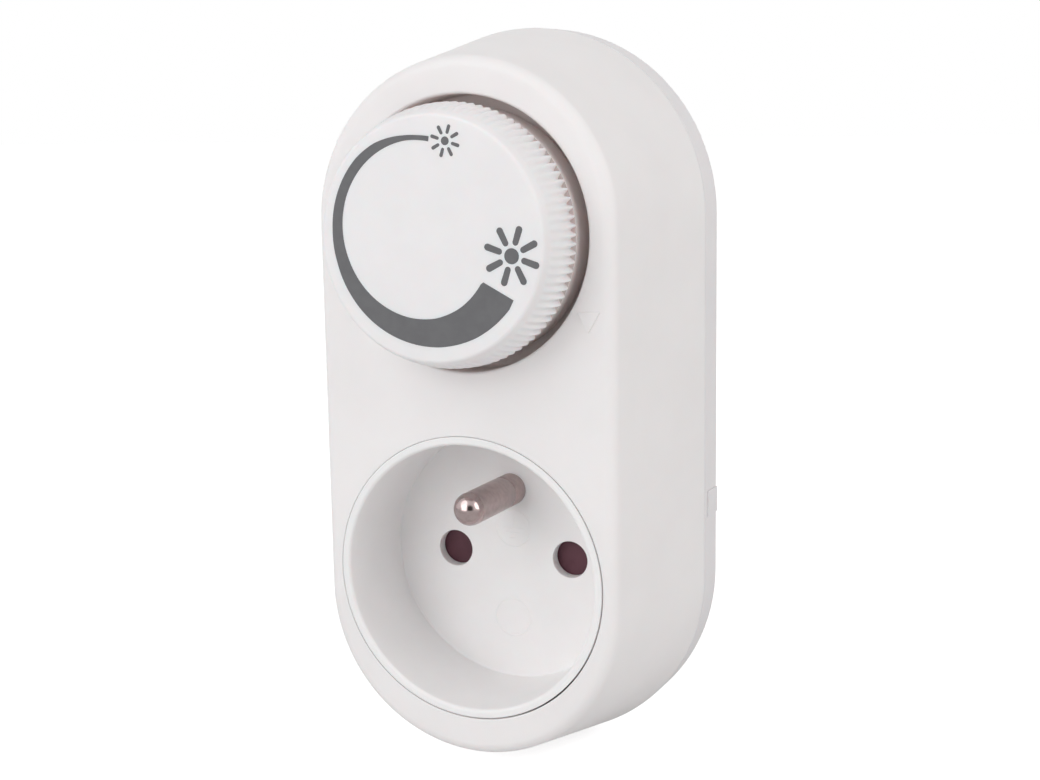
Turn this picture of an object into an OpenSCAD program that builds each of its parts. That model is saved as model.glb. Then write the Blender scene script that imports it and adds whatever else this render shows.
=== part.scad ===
// Plug-in dimmer: a drafted round-ended body with a ribbed knob above a mains socket and a plug behind.
// Millimetres. X to the right, Y into the wall, Z up.
// The origin is the centre of the plug's face, midway between the two plug pins.

/* [Body] */
// Depth of the body from its front face to its rear face
body_depth = 30.2; // [28:0.1:34]
// Depth of the front shell from its front face to the seam
seam_depth = 24.1; // [22:0.1:25.5]
// Draft of the front shell's sides, in degrees
side_draft = 11; // [8:0.5:13]
// Flat land beside the socket's rim, up to the rounded edge
front_land = 0.62; // [0.3:0.02:3]
// Radius of the rounded front edge
front_round = 1.8; // [0.8:0.1:2.2]
// Radius of the rounded rear edge
rear_round = 1; // [0.4:0.1:1.6]
// Wall thickness of both shells
wall = 2.2; // [1.6:0.1:2.4]
// Height of the upper round end's centre above the socket axis
upper_centre = 50.6; // [48:0.1:56]
// Drop of the lower round end's centre below the socket axis
lower_centre = 3.2; // [2:0.1:6]
// Depth of the rear cover's lip inside the front shell
lip_depth = 2; // [1.5:0.1:3]
// Thickness of the rear cover's lip
lip_wall = 1.4; // [1:0.1:1.8]
// Gap between the lip and the front shell
lip_gap = 0.15; // [0.05:0.05:0.3]
// Chamfer along the seam
seam_chamfer = 0.25; // [0.1:0.05:0.5]

/* [Pry ribs] */
// Height of a pry rib on the rear cover's side
pry_rib_h = 3.8; // [2:0.1:6]
// Height of the pry ribs' centre above the socket axis
pry_rib_z = 7.8; // [4:0.1:20]
// How far a pry rib stands out
pry_rib_rise = 0.25; // [0.1:0.05:0.5]

/* [Case screws] */
// Distance of the case screws from the rear cover's edge
screw_inset = 6.2; // [5.8:0.1:7]
// Direction of the case screws from the round ends' centres, in degrees above or below level
screw_angle = 50; // [46:1:56]
// Diameter of the case screws' shank
screw_d = 2.8; // [2.4:0.1:3]
// Diameter of the case screws' head
screw_head_d = 5.2; // [4.6:0.1:5.4]
// Height of the case screws' head
screw_head_h = 2; // [1.6:0.1:2.4]
// Depth of a case screw's head below the rear face
screw_sink = 4; // [3:0.1:5]
// Length of the case screws below the head
screw_length = 12.5; // [9:0.5:14]
// Wall of the screw pillars around their bore
pillar_wall = 1.5; // [1.2:0.1:1.6]
// Radial clearance of a screw's shank in its hole
screw_fit = 0.03; // [0.02:0.01:0.1]
// Radial clearance around a screw's head
head_gap = 0.3; // [0.2:0.05:0.5]

/* [Socket] */
// Distance between the two pin holes, and between the two plug pins
pin_spacing = 19; // [18:0.1:20]
// Diameter of the well at its floor
well_floor_d = 38.4; // [37:0.1:43]
// How much wider the well is at its mouth, on each side
well_taper = 0.2; // [0.1:0.05:0.6]
// Width of the rim around the well's mouth
rim_wall = 1.25; // [1:0.05:2]
// Gap between the rim and the front shell
rim_gap = 0.12; // [0.05:0.01:0.3]
// Depth of the well
well_depth = 15; // [13:0.1:16]
// Radius of the rounded mouth of the well
mouth_round = 0.5; // [0.2:0.1:0.6]
// Thickness of the well's floor
floor_t = 1.7; // [1.5:0.1:3]
// Diameter of the pin holes
hole_d = 5.56; // [5.2:0.02:6]
// Height of the earth pin above the pin holes
earth_rise = 10; // [9.5:0.1:10.5]
// Diameter of the earth pin
earth_pin_d = 4.8; // [4.4:0.1:5]
// Length of the earth pin above the well's floor
earth_pin_l = 16; // [13:0.1:17]
// Diameter of the earth pin's shank in the floor
earth_shank_d = 4; // [3.4:0.1:4.2]
// Diameter of the earth pin's riveted tail
earth_tail_d = 3; // [2.4:0.1:3.2]
// Distance of the insert's screw lugs outside its rim
lug_out = 3.1; // [2.8:0.1:3.4]
// Thickness of the insert's screw lugs
lug_t = 2.5; // [2:0.1:3]
// Radius of the insert's screw lugs and of the posts under them
lug_r = 2.2; // [2:0.1:2.4]
// Diameter of the small screws' shank
small_screw_d = 2; // [1.6:0.1:2.2]
// Diameter of the small screws' head
small_head_d = 3.8; // [3.4:0.1:4]
// Height of the small screws' head
small_head_h = 1.5; // [1.2:0.1:1.8]
// Length of the small screws below the head
small_screw_l = 5.5; // [4.5:0.1:6]

/* [Shutter] */
// Depth of the chamber that the shutter turns in
chamber_depth = 4.3; // [3.3:0.1:4.5]
// Thickness of the shutter's arms
shutter_t = 1.5; // [1.2:0.1:1.6]
// Width of a shutter arm
shutter_arm_w = 7.2; // [6.6:0.1:7.6]
// Reach of a shutter arm beyond the centre of its hole
shutter_arm_over = 3.8; // [3.5:0.1:4.2]
// Depth of the ramp cut into a shutter arm
ramp_depth = 0.9; // [0.4:0.1:1]
// Diameter of the pivot post
pivot_d = 3.2; // [2.8:0.1:3.6]
// Radial running clearance of the shutter on its post
pivot_fit = 0.05; // [0.02:0.01:0.08]
// Diameter of the shutter's hub
shutter_hub_d = 6; // [5.4:0.1:6.4]
// Clearance in front of and behind the shutter
shutter_gap = 0.2; // [0.15:0.05:0.3]
// Wire diameter of the shutter spring
spring_wire = 0.42; // [0.3:0.02:0.45]
// Turns of the shutter spring
spring_turns = 2; // [1:0.25:2]
// Rise of the shutter spring in one turn
spring_pitch = 0.47; // [0.46:0.01:0.5]
// Clearance between the shutter spring and the shutter's hub
spring_gap = 0.5; // [0.3:0.1:0.8]

/* [Contacts] */
// Thickness of the contact carrier's disc
carrier_t = 2.5; // [2:0.1:3]
// Height of the carrier's towers around the contacts
tower_h = 7.5; // [5:0.1:8]
// Wall of the carrier's towers
tower_wall = 1; // [0.8:0.1:1.2]
// Clearance of a contact in its tower, and of pieces set side by side
seat_gap = 0.1; // [0.05:0.05:0.15]
// Thickness of the contact strip
strip_t = 0.8; // [0.6:0.1:0.9]
// Width of a contact's spring arms
contact_w = 7; // [6:0.1:7.2]
// Clearance between a mating pin and each spring arm
contact_grip = 0.1; // [0.05:0.05:0.15]
// Room behind the tip of a mating pin
tip_room = 1; // [0.6:0.1:1.4]
// Distance of the carrier screws from the socket axis
carrier_screw_r = 16.2; // [15.6:0.1:16.6]
// Radius of the small screw bosses
small_boss_r = 2.2; // [2:0.1:2.3]

/* [Plug] */
// Diameter of the plug boss
plug_d = 37; // [36:0.1:38]
// Height of the plug boss behind the rear face
plug_h = 15.5; // [15:0.1:17]
// Wall of the plug boss
plug_wall = 2.6; // [2.3:0.1:2.8]
// Thickness of the plug's face
face_t = 3; // [2.4:0.1:3.4]
// Rounding of the plug's face edge
face_round = 1; // [0.4:0.1:1.6]
// Diameter of the plug pins
plug_pin_d = 4.8; // [4:0.1:4.8]
// Length of the plug pins
plug_pin_l = 19; // [18:0.1:20]
// Diameter of a plug pin's shank in the plug's face
pin_shank_d = 4; // [3.4:0.1:4]
// Diameter of a plug pin's collar
pin_collar_d = 6.6; // [6:0.1:7]
// Thickness of a plug pin's collar
pin_collar_t = 1.2; // [0.8:0.1:1.4]
// Diameter of a plug pin's riveted tail
pin_tail_d = 3.2; // [2.6:0.1:3.2]
// Gap between the live contact and the plug pins' riveted tails
tail_gap = 1.7; // [1:0.1:2.2]
// Radial clearance of riveted shanks in their holes
rivet_fit = 0.02; // [0.01:0.01:0.05]
// Inner diameter of the rear earth tube
tube_bore_d = 5; // [4.9:0.1:5.2]
// Wall of the rear earth tube
tube_wall = 0.6; // [0.5:0.1:0.8]
// Depth of the rear earth tube's bore
tube_l = 15; // [14.5:0.1:15.5]
// Diameter of the earth hole in the plug's face
earth_hole_d = 6; // [5.6:0.1:6.2]
// Width of the side clips
clip_w = 5; // [4:0.1:6]
// Length of the side clips along the boss
clip_l = 8; // [6:0.1:8.4]
// Depth of the side clips below the boss's surface
clip_sink = 0.4; // [0.2:0.1:0.6]
// Distance of the clips' cross strip from the inside of the plug's face
strip_back = 5.2; // [5:0.1:6]
// Width of the guide notches in the boss's sides
notch_w = 5; // [4:0.1:6]
// Depth of the guide notches
notch_depth = 1.6; // [1:0.1:1.8]

/* [Knob] */
// Height of the knob axis above the socket axis
knob_centre = 49.1; // [48:0.1:52]
// Diameter of the recess around the knob
recess_d = 38.4; // [37:0.1:39]
// Depth of the recess
recess_depth = 6; // [5:0.1:6.5]
// Thickness of the recess's floor
cup_floor = 2; // [1.6:0.1:2.4]
// Wall of the recess
cup_wall = 1.6; // [1.2:0.1:1.8]
// Diameter of the knob over its ribs
knob_d = 36.7; // [35.5:0.1:37]
// Diameter of the knob behind its rounded face edge
knob_front_d = 34.3; // [33:0.1:35]
// How far the knob stands out of the front face
knob_rise = 9; // [8:0.1:11]
// Length of the knob's tapered side
knob_taper = 5.4; // [3:0.1:6.5]
// How far the rear end of the ribs stands out of the front face
rib_rise = 0.8; // [0.4:0.1:1.2]
// Width of the relief groove behind the ribs
relief_w = 0.5; // [0.2:0.1:1]
// Depth of the relief groove below the ribs' roots
relief_depth = 0.4; // [0.2:0.1:0.6]
// How far the smooth skirt lies inside the knob's diameter over its ribs
skirt_step = 0.35; // [0.1:0.05:0.5]
// How far the skirt reaches behind the front face
knob_sink = 4.5; // [3:0.1:4.8]
// Number of ribs around the knob
rib_count = 92; // [60:1:110]
// Width of a rib
rib_w = 0.8; // [0.5:0.05:0.9]
// Height of the ribs on the knob's straight side
rib_h = 0.6; // [0.3:0.05:0.7]
// How far the ribs' tips lie inside the smooth rim
rib_step = 0.05; // [0.03:0.01:0.2]
// Height of the smooth rim
knob_rim_h = 0.3; // [0.2:0.1:1]
// Radius of the knob's rounded face edge
knob_round = 0.6; // [0.4:0.1:1]
// Wall of the knob's skirt
knob_wall = 1.8; // [1.4:0.1:2.4]
// Thickness of the knob's face
knob_face_t = 2; // [1.6:0.1:2.4]
// Diameter of the knob's hub
hub_d = 9.2; // [8.4:0.1:11]
// Clearance between the knob's hub and the recess's floor
hub_gap = 0.8; // [0.5:0.1:1.2]
// Side of the raised index triangle
index_side = 3; // [2:0.1:3.4]
// Distance of the index triangle's point from the recess
index_gap = 0.95; // [0.5:0.05:1.5]
// Direction of the index triangle from the knob axis, in degrees
index_angle = -30; // [-45:1:-20]
// Rise of the index triangle
index_rise = 0.25; // [0.1:0.05:0.4]

/* [Potentiometer] */
// Diameter of the shaft
shaft_d = 6; // [5:0.1:6.4]
// Depth of the flat on the shaft
shaft_flat = 0.8; // [0.5:0.1:1.2]
// Length of the shaft in the knob's hub
shaft_grip = 10.5; // [8:0.1:11]
// Radial clearance of the knob on the shaft
knob_fit = 0.03; // [0.01:0.01:0.05]
// Radial running clearance of the shaft in its bushing
shaft_fit = 0.05; // [0.02:0.01:0.08]
// Diameter of the bushing
bushing_d = 7.2; // [7:0.1:8]
// Length of the bushing in front of the housing
bushing_l = 2.9; // [2:0.1:3.2]
// Clearance of the bushing in the recess's floor
bushing_gap = 0.2; // [0.1:0.05:0.4]
// Gap between the recess's floor and the housing
pot_gap = 1.5; // [1:0.1:2]
// Diameter of the housing
pot_d = 17; // [16:0.1:20]
// Depth of the housing with its wafer
pot_depth = 7; // [6.6:0.1:8]
// Wall of the housing
pot_wall = 1; // [0.8:0.1:1.2]
// Thickness of the wafer
wafer_t = 1.2; // [1:0.1:1.4]
// Thickness of the rotor
rotor_t = 1.3; // [1:0.1:1.5]
// Clearance around the rotor
rotor_gap = 1; // [0.6:0.1:1.4]
// Thickness of the wiper
wiper_t = 0.6; // [0.4:0.1:0.7]
// Clearance between the wiper and the wafer
wiper_gap = 0.3; // [0.2:0.05:0.4]

/* [Board] */
// Thickness of the circuit board
board_t = 1.6; // [1.2:0.1:2]
// Width of the circuit board
board_w = 39; // [36:0.5:40]
// Distance of the board's lower edge above the insert's upper screw lug
board_clear = 1.3; // [1:0.1:2]
// Sideways distance of the board posts from the knob axis
post_x = 15; // [14:0.1:15.4]
// Height of the board posts above and below the knob axis
post_z = 10.5; // [9.6:0.1:11]
// Radius of the component leads
lead_r = 0.4; // [0.3:0.05:0.5]
// Radial clearance of the leads in the board
lead_fit = 0.05; // [0.03:0.01:0.1]

/* [Components] */
// Space between neighbouring components
part_gap = 0.8; // [0.5:0.1:1.2]
// Sideways distance of the middle gap from the knob axis
middle_x = 0; // [-0.6:0.1:0.6]
// Clearance under the fuse
fuse_gap = 1; // [0.6:0.1:1.4]
// Length of the fuse
fuse_l = 20; // [18:0.5:20]
// Diameter of the fuse
fuse_d = 5.2; // [5:0.1:5.4]
// Length of the fuse's end caps
fuse_cap_l = 5; // [4:0.1:6]
// Outer diameter of the choke's winding
choke_d = 14; // [12:0.1:15]
// Diameter of the opening in the choke's winding
choke_hole_d = 5.6; // [5:0.1:6]
// Space between the fuse clips and the choke
choke_up = 3; // [2.4:0.1:3.4]
// Height of the choke's winding
choke_h = 6.6; // [5:0.1:7]
// Thickness of the winding over the core
winding_t = 0.8; // [0.6:0.1:0.9]
// Sweep of the winding around the core, in degrees
winding_sweep = 300; // [240:5:330]
// Width of the film capacitor
cap_w = 13; // [10:0.1:13.5]
// Height of the film capacitor along the board
cap_z = 6.5; // [5:0.1:7]
// Clearance between the film capacitor and the rear cover
cap_clear = 1.9; // [0.5:0.1:3]
// Width of the triac
triac_w = 10; // [9:0.1:10.4]
// Height of the triac's moulded body
triac_body = 9; // [8:0.1:9.4]
// Height of the triac's metal tab
triac_tab = 6.4; // [6:0.1:6.6]
// Thickness of the triac's moulded body
triac_t = 4.4; // [4:0.1:4.8]
// Thickness of the triac's metal tab
tab_t = 1.3; // [1:0.1:1.5]
// Width of the heat sink
sink_w = 18; // [16:0.1:19]
// Thickness of the heat sink
sink_t = 1.5; // [1:0.1:1.8]
// Height of the heat sink's legs along the board
sink_leg = 9; // [7:0.1:9.4]
// Spacing of the triac's leads
triac_pitch = 2.54; // [2.3:0.02:2.8]
// Length of a resistor's body
resistor_l = 6.5; // [5:0.1:7]
// Diameter of a resistor's body
resistor_d = 2.4; // [2:0.1:2.6]
// Spacing of the resistors
resistor_pitch = 3.2; // [3:0.1:3.4]
// Diameter of the insulated wires
wire_d = 2.2; // [1.6:0.1:2.4]

/* [Hidden] */
$fn = 96;

// Overlap that lets joined shapes fuse and cuts run clear
over = 0.1;
// Facets of small round pieces
small_fn = 48;

// Depths are counted from the front face, into the wall
plug_face = body_depth + plug_h;
face_inner = plug_face - face_t;
rear_inner = body_depth - wall;
pin_x = pin_spacing / 2;

// Radii of the socket's well and rim
floor_r = well_floor_d / 2;
well_r = floor_r + well_taper;
rim_r = well_r + rim_wall;

// Half width of the drafted body at a given depth
flat_half = rim_r + front_land;
function side_half(y) = flat_half + front_round * cos(side_draft)
    + (y - front_round + front_round * sin(side_draft)) * tan(side_draft);
function cavity_half(y) = side_half(y) - wall / cos(side_draft);
rear_half = side_half(seam_depth);
lip_outer = cavity_half(seam_depth - lip_depth) - lip_gap;

// Case screws and their pillars
screw_reach = rear_half - screw_inset;
screw_r = screw_d / 2;
pillar_r = screw_r + pillar_wall;
screw_places = [for (sx = [-1, 1], end = [-1, 1])
    [sx * screw_reach * cos(screw_angle),
     (end > 0 ? upper_centre : -lower_centre) + end * screw_reach * sin(screw_angle)]];
pillar_front = max(wall, seam_depth - (rear_half - screw_reach - pillar_r - 2 * over) / tan(side_draft));
pillar_rear = seam_depth - lip_depth - 3 * over;
head_seat = body_depth - screw_sink;
screw_end = head_seat - screw_length;

// Socket depths
floor_rear = well_depth + floor_t;
insert_rear = floor_rear + chamber_depth;
carrier_rear = insert_rear + carrier_t;
shutter_front = floor_rear + shutter_gap;
shutter_rear = shutter_front + shutter_t;
hub_rear = insert_rear - shutter_gap;
lug_z = rim_r + lug_out;
lug_front = insert_rear - lug_t;
small_screw_r = small_screw_d / 2;
carrier_screw_places = [for (a = [135, 315]) carrier_screw_r * [cos(a), sin(a)]];
contact_front = carrier_rear + seat_gap;
contact_in = plug_pin_d / 2 + contact_grip;
contact_out = contact_in + strip_t;
live_base = well_depth + plug_pin_l + tip_room;
tail_front = live_base + strip_t + tail_gap;
neutral_base = tail_front + strip_t;
tube_r = tube_bore_d / 2 + tube_wall;
tube_front = face_inner - tube_l;

// Knob and potentiometer depths
recess_r = recess_d / 2;
knob_r = knob_d / 2;
knob_slope = (knob_d - knob_front_d) / 2 / knob_taper;
knob_edge = knob_round - knob_rise;
taper_end = knob_edge + knob_taper;
function knob_half(y) = knob_r - max(0, taper_end - y) * knob_slope;
rib_end = -rib_rise;
rib_root = knob_r - rib_step - rib_h;
relief_r = rib_root - relief_depth;
relief_end = rib_end + relief_w;
skirt_r = knob_r - skirt_step;
cup_rear = recess_depth + cup_floor;
hub_end = recess_depth - hub_gap;
pot_front = cup_rear + pot_gap;
pot_rear = pot_front + pot_depth;
wafer_front = pot_rear - wafer_t;
wiper_front = wafer_front - wiper_gap - wiper_t;
rotor_front = wiper_front - rotor_t;
shaft_front = hub_end - shaft_grip;
shaft_r = shaft_d / 2;

// Board and component places
board_front = pot_rear;
board_rear = board_front + board_t;
board_low = lug_z + lug_r + board_clear;
board_half = board_w / 2;
post_places = [for (sx = [-1, 1], sz = [-1, 1]) [sx * post_x, knob_centre + sz * post_z]];
wafer_lead_r = pot_d / 2 - pot_wall - 2 * lead_r;
wafer_leads = [for (a = [-125, -90, -55]) [wafer_lead_r * cos(a), knob_centre + wafer_lead_r * sin(a)]];
clip_half = fuse_d / 2 + strip_t + seat_gap;
fuse_x = middle_x + 3 * part_gap - fuse_l / 2;
fuse_z = board_low + part_gap + clip_half;
fuse_y = board_rear + fuse_d / 2 + fuse_gap;
choke_r = choke_d / 2;
choke_x = middle_x - part_gap - choke_r;
choke_z = fuse_z + clip_half + choke_up + choke_r;
core_in = choke_hole_d / 2 + winding_t;
core_out = choke_r - winding_t;
core_mid = (core_in + core_out) / 2;
choke_leads = [for (a = [-110, -70]) [choke_x + core_mid * cos(a), choke_z + core_mid * sin(a)]];
sink_z0 = choke_z + choke_r + part_gap;
sink_z1 = sink_z0 + triac_body + triac_tab;
triac_rear = board_rear + triac_t;
tab_z = sink_z1 - triac_tab / 2;
triac_leads = [for (i = [-1, 0, 1]) [i * triac_pitch, sink_z0 + 2 * lead_r]];
cap_x = middle_x + part_gap + cap_w / 2;
cap_zc = sink_z0 - part_gap - cap_z / 2;
cap_leads = [for (s = [-1, 1]) [cap_x + s * (cap_w / 2 - 3 * lead_r), cap_zc]];
resistor_x = middle_x + 6 * part_gap + resistor_l / 2;
resistor_z = cap_zc - cap_z / 2 - part_gap - resistor_d / 2;
resistor_leads = [for (i = [0:2], s = [-1, 1])
    [resistor_x + s * (resistor_l / 2 - lead_r - over), resistor_z - i * resistor_pitch]];
board_leads = concat(wafer_leads, choke_leads, cap_leads, triac_leads, resistor_leads);
wire_r = wire_d / 2;
wire_y = (carrier_rear + rear_inner) / 2;
load_x = pin_x + wire_d + part_gap;
load_z = board_low + wire_r + part_gap;
line_x = pin_x;
line_z = load_z + wire_d + 2 * part_gap;
line_tail_y = face_inner - pin_collar_t - seat_gap - wire_r;
tower_top = contact_w / 2 + seat_gap + tower_wall;
line_turn_z = tower_top + part_gap + wire_r;

// Moves a piece drawn from the front face into the part's own frame
module placed() translate([0, -plug_face, 0]) children();

// A flat outline in X and Z, drawn from depth y0 to depth y1
module along_y(y0, y1) translate([0, y1, 0]) rotate([90, 0, 0]) linear_extrude(y1 - y0) children();

// A round bar along Y
module bar(x, z, r, y0, y1) translate([x, y1, z]) rotate([90, 0, 0]) cylinder(r = r, h = y1 - y0);

// A turned piece about a line along Y, from points of radius and depth
module turned(points, x = 0, z = 0)
    translate([x, 0, z]) rotate([90, 0, 0]) rotate_extrude() polygon([for (p = points) [p[0], -p[1]]]);

// A turned piece about a line along Y, from a section of radius and depth
module spun(x = 0, z = 0)
    translate([x, 0, z]) rotate([90, 0, 0]) rotate_extrude() mirror([0, 1]) children();

// A section of radius and depth carried round the upper end, down both sides and round the lower end
module carried() {
    translate([0, 0, upper_centre]) rotate([90, 0, 0])
        rotate_extrude(angle = 180) mirror([0, 1]) children();
    translate([0, 0, -lower_centre]) rotate([0, 180, 0]) rotate([90, 0, 0])
        rotate_extrude(angle = 180) mirror([0, 1]) children();
    translate([0, 0, -lower_centre]) linear_extrude(upper_centre + lower_centre) {
        children();
        mirror([1, 0]) children();
    }
}

// The half of a disc on the outer side of the axis, for a domed tip
module half_disc(r, y) translate([0, y]) difference() {
    circle(r);
    translate([-r - over, -r - over]) square([r + over, 2 * (r + over)]);
}

// A screw along Y, its head towards the rear, from its head's seat to its end
module screw(x, z, seat, length, shank_r, head_r, head_h) {
    slot_w = head_r * 0.3;
    difference() {
        union() {
            bar(x, z, shank_r, seat - length, seat + over);
            bar(x, z, head_r, seat, seat + head_h);
        }
        for (a = [0, 90])
            translate([x, seat + head_h, z]) rotate([0, a, 0])
                cube([head_r * 1.3, head_h, slot_w], center = true);
    }
}

// Case

module index_triangle() {
    reach = recess_r + index_gap;
    h = index_side * cos(30);
    translate([0, 0, knob_centre]) along_y(-index_rise, over) rotate(index_angle)
        polygon([[reach, 0], [reach + h, index_side / 2], [reach + h, -index_side / 2]]);
}

// Section of the front shell, with its rounded front edge
module shell_section() {
    tangent_x = flat_half + front_round * cos(side_draft);
    tangent_y = front_round - front_round * sin(side_draft);
    polygon([[0, 0], [flat_half, 0], [flat_half, front_round], [tangent_x, tangent_y],
        [rear_half, seam_depth], [0, seam_depth]]);
    translate([flat_half, front_round]) circle(front_round);
}

module front_shell() color("whitesmoke") placed() {
    mouth = seam_depth + over;
    difference() {
        union() {
            difference() {
                carried() shell_section();
                carried() polygon([[0, wall], [cavity_half(wall), wall], [cavity_half(mouth), mouth], [0, mouth]]);
            }
            bar(0, knob_centre, recess_r + cup_wall, wall - over, cup_rear);
            for (p = screw_places)
                bar(p[0], p[1], pillar_r, pillar_front, pillar_rear);
            for (p = post_places)
                bar(p[0], p[1], small_boss_r, cup_rear - over, board_front);
            for (s = [-1, 1])
                bar(0, s * lug_z, lug_r, wall - over, lug_front);
            index_triangle();
        }
        bar(0, knob_centre, recess_r, -over, recess_depth);
        bar(0, knob_centre, bushing_d / 2 + bushing_gap, recess_depth - over, cup_rear + over);
        bar(0, 0, rim_r + rim_gap, -over, lug_front);
        for (p = screw_places)
            bar(p[0], p[1], screw_r + screw_fit, screw_end - over, pillar_rear + over);
        for (p = post_places)
            bar(p[0], p[1], small_screw_r + screw_fit, board_rear - small_screw_l - over, board_front + over);
        for (s = [-1, 1])
            bar(0, s * lug_z, small_screw_r + screw_fit, insert_rear - small_screw_l - over, lug_front + over);
    }
}

// Section of the rear cover's band, with its chamfered and its rounded edge
module cover_section() {
    round_x = rear_half - rear_round;
    round_y = body_depth - rear_round;
    polygon([[0, seam_depth], [rear_half - seam_chamfer, seam_depth], [rear_half, seam_depth + seam_chamfer],
        [rear_half, round_y], [round_x, round_y], [round_x, body_depth], [0, body_depth]]);
    translate([round_x, round_y]) circle(rear_round);
}

// Section of the plug boss, with its rounded edge
module boss_section(r) {
    round_x = r - face_round;
    round_y = plug_face - face_round;
    polygon([[0, rear_inner], [r, rear_inner], [r, round_y], [round_x, round_y], [round_x, plug_face],
        [0, plug_face]]);
    translate([round_x, round_y]) circle(face_round);
}

module rear_cover() color("gainsboro") placed() {
    inner_half = rear_half - wall;
    lip_inner = lip_outer - lip_wall;
    lip_front = seam_depth - lip_depth;
    lip_rear = seam_depth + lip_depth;
    boss_r = plug_d / 2;
    boss_in = boss_r - plug_wall;
    window_gap = 3 * seat_gap;
    window_y = face_inner - strip_back + strip_t / 2;
    head_r = screw_head_d / 2 + head_gap;
    head_front = max(seam_depth, head_seat - pillar_wall);
    difference() {
        union() {
            difference() {
                carried() cover_section();
                carried() polygon([[0, seam_depth - over], [inner_half, seam_depth - over],
                    [inner_half, rear_inner], [0, rear_inner]]);
            }
            carried() polygon([[lip_inner, lip_front], [lip_outer, lip_front], [lip_outer, seam_depth],
                [inner_half + over, seam_depth], [inner_half + over, lip_rear], [lip_inner, lip_rear]]);
            spun() boss_section(boss_r);
            for (p = screw_places) {
                bar(p[0], p[1], pillar_r, pillar_rear, rear_inner + over);
                bar(p[0], p[1], head_r + pillar_wall, head_front, rear_inner + over);
            }
            for (s = [-1, 1])
                translate([s * rear_half, (seam_depth + body_depth) / 2, pry_rib_z])
                    cube([2 * pry_rib_rise, body_depth - seam_depth - 2 * rear_round, pry_rib_h], center = true);
        }
        bar(0, 0, boss_in, rear_inner - over, face_inner);
        for (p = screw_places) {
            bar(p[0], p[1], screw_r + screw_fit, pillar_rear - over, head_seat + over);
            bar(p[0], p[1], head_r, head_seat, body_depth + over);
        }
        for (s = [-1, 1]) {
            bar(s * pin_x, 0, pin_shank_d / 2 + rivet_fit, face_inner - over, plug_face + over);
            translate([s * boss_r, (body_depth + plug_face) / 2 + over, 0])
                cube([2 * notch_depth, plug_h, notch_w], center = true);
            translate([0, window_y, s * boss_r])
                cube([clip_w + 2 * window_gap, clip_l + 2 * window_gap, 3 * plug_wall], center = true);
        }
        bar(0, earth_rise, earth_hole_d / 2, face_inner - over, plug_face + over);
    }
}

module case_screws() color("silver") placed()
    for (p = screw_places)
        screw(p[0], p[1], head_seat, screw_length, screw_r, screw_head_d / 2, screw_head_h);

// Socket

// Section of the space in the well, with the rounded mouth left standing
module well_section() {
    round_x = well_r + mouth_round;
    difference() {
        polygon([[0, -over], [round_x, -over], [round_x, mouth_round], [well_r, mouth_round],
            [floor_r, well_depth], [0, well_depth]]);
        translate([round_x, mouth_round]) circle(mouth_round);
    }
}

module socket_insert() color("white") placed() {
    difference() {
        union() {
            bar(0, 0, rim_r, 0, insert_rear);
            for (s = [-1, 1])
                bar(0, s * lug_z, lug_r, lug_front, insert_rear);
            translate([0, (lug_front + insert_rear) / 2, 0])
                cube([2 * lug_r, lug_t, 2 * lug_z], center = true);
        }
        spun() well_section();
        difference() {
            bar(0, 0, floor_r, floor_rear, insert_rear + over);
            bar(0, 0, pivot_d / 2, floor_rear - over, insert_rear + 2 * over);
            for (p = carrier_screw_places)
                bar(p[0], p[1], small_boss_r, floor_rear - over, insert_rear + 2 * over);
        }
        for (s = [-1, 1]) {
            bar(s * pin_x, 0, hole_d / 2, well_depth - over, floor_rear + over);
            bar(0, s * lug_z, small_screw_r + screw_fit, lug_front - over, insert_rear + over);
        }
        for (p = carrier_screw_places)
            bar(p[0], p[1], small_screw_r + screw_fit, floor_rear + over, insert_rear + over);
        bar(0, earth_rise, earth_shank_d / 2 + rivet_fit, well_depth - over, floor_rear + over);
    }
}

module insert_screws() color("silver") placed()
    for (s = [-1, 1])
        screw(0, s * lug_z, insert_rear, small_screw_l, small_screw_r, small_head_d / 2, small_head_h);

module earth_pin() color("lightgray") placed() {
    pin_r = earth_pin_d / 2;
    tip = well_depth - earth_pin_l;
    dome_y = tip + pin_r;
    shank = earth_shank_d / 2;
    tail = earth_tail_d / 2;
    shank_rear = carrier_rear + strip_t;
    spun(0, earth_rise) {
        half_disc(pin_r, dome_y);
        polygon([[0, dome_y], [pin_r, dome_y], [pin_r, well_depth], [shank, well_depth], [shank, shank_rear],
            [tail, shank_rear], [tail, tube_front], [0, tube_front]]);
    }
}

module shutter() color("#5a2f38") placed() {
    arm_reach = pin_x + shutter_arm_over;
    difference() {
        union() {
            bar(0, 0, shutter_hub_d / 2, shutter_front, hub_rear);
            translate([-arm_reach, shutter_front, -shutter_arm_w / 2])
                cube([2 * arm_reach, shutter_t, shutter_arm_w]);
        }
        bar(0, 0, pivot_d / 2 + pivot_fit, shutter_front - over, hub_rear + over);
        for (a = [0, 180])
            rotate([0, a, 0])
                translate([pin_x, shutter_front, 0])
                    rotate([atan(ramp_depth / (shutter_arm_w / 2)), 0, 0])
                        translate([-shutter_arm_over, -2 * ramp_depth, 0])
                            cube([2 * shutter_arm_over + over, 2 * ramp_depth, shutter_arm_w]);
    }
}

// A round wire swept along a list of points, each with the frame of its ring
module swept(rings) {
    sides = len(rings[0]);
    count = len(rings);
    walls = [for (i = [0:count - 2], j = [0:sides - 1])
        let (k = (j + 1) % sides, a = i * sides, b = a + sides)
        each [[a + j, a + k, b + k], [a + j, b + k, b + j]]];
    caps = [for (j = [1:sides - 2])
        each [[0, j + 1, j], [(count - 1) * sides, (count - 1) * sides + j, (count - 1) * sides + j + 1]]];
    polyhedron(points = [for (r = rings) each r], faces = concat(walls, caps));
}

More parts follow.
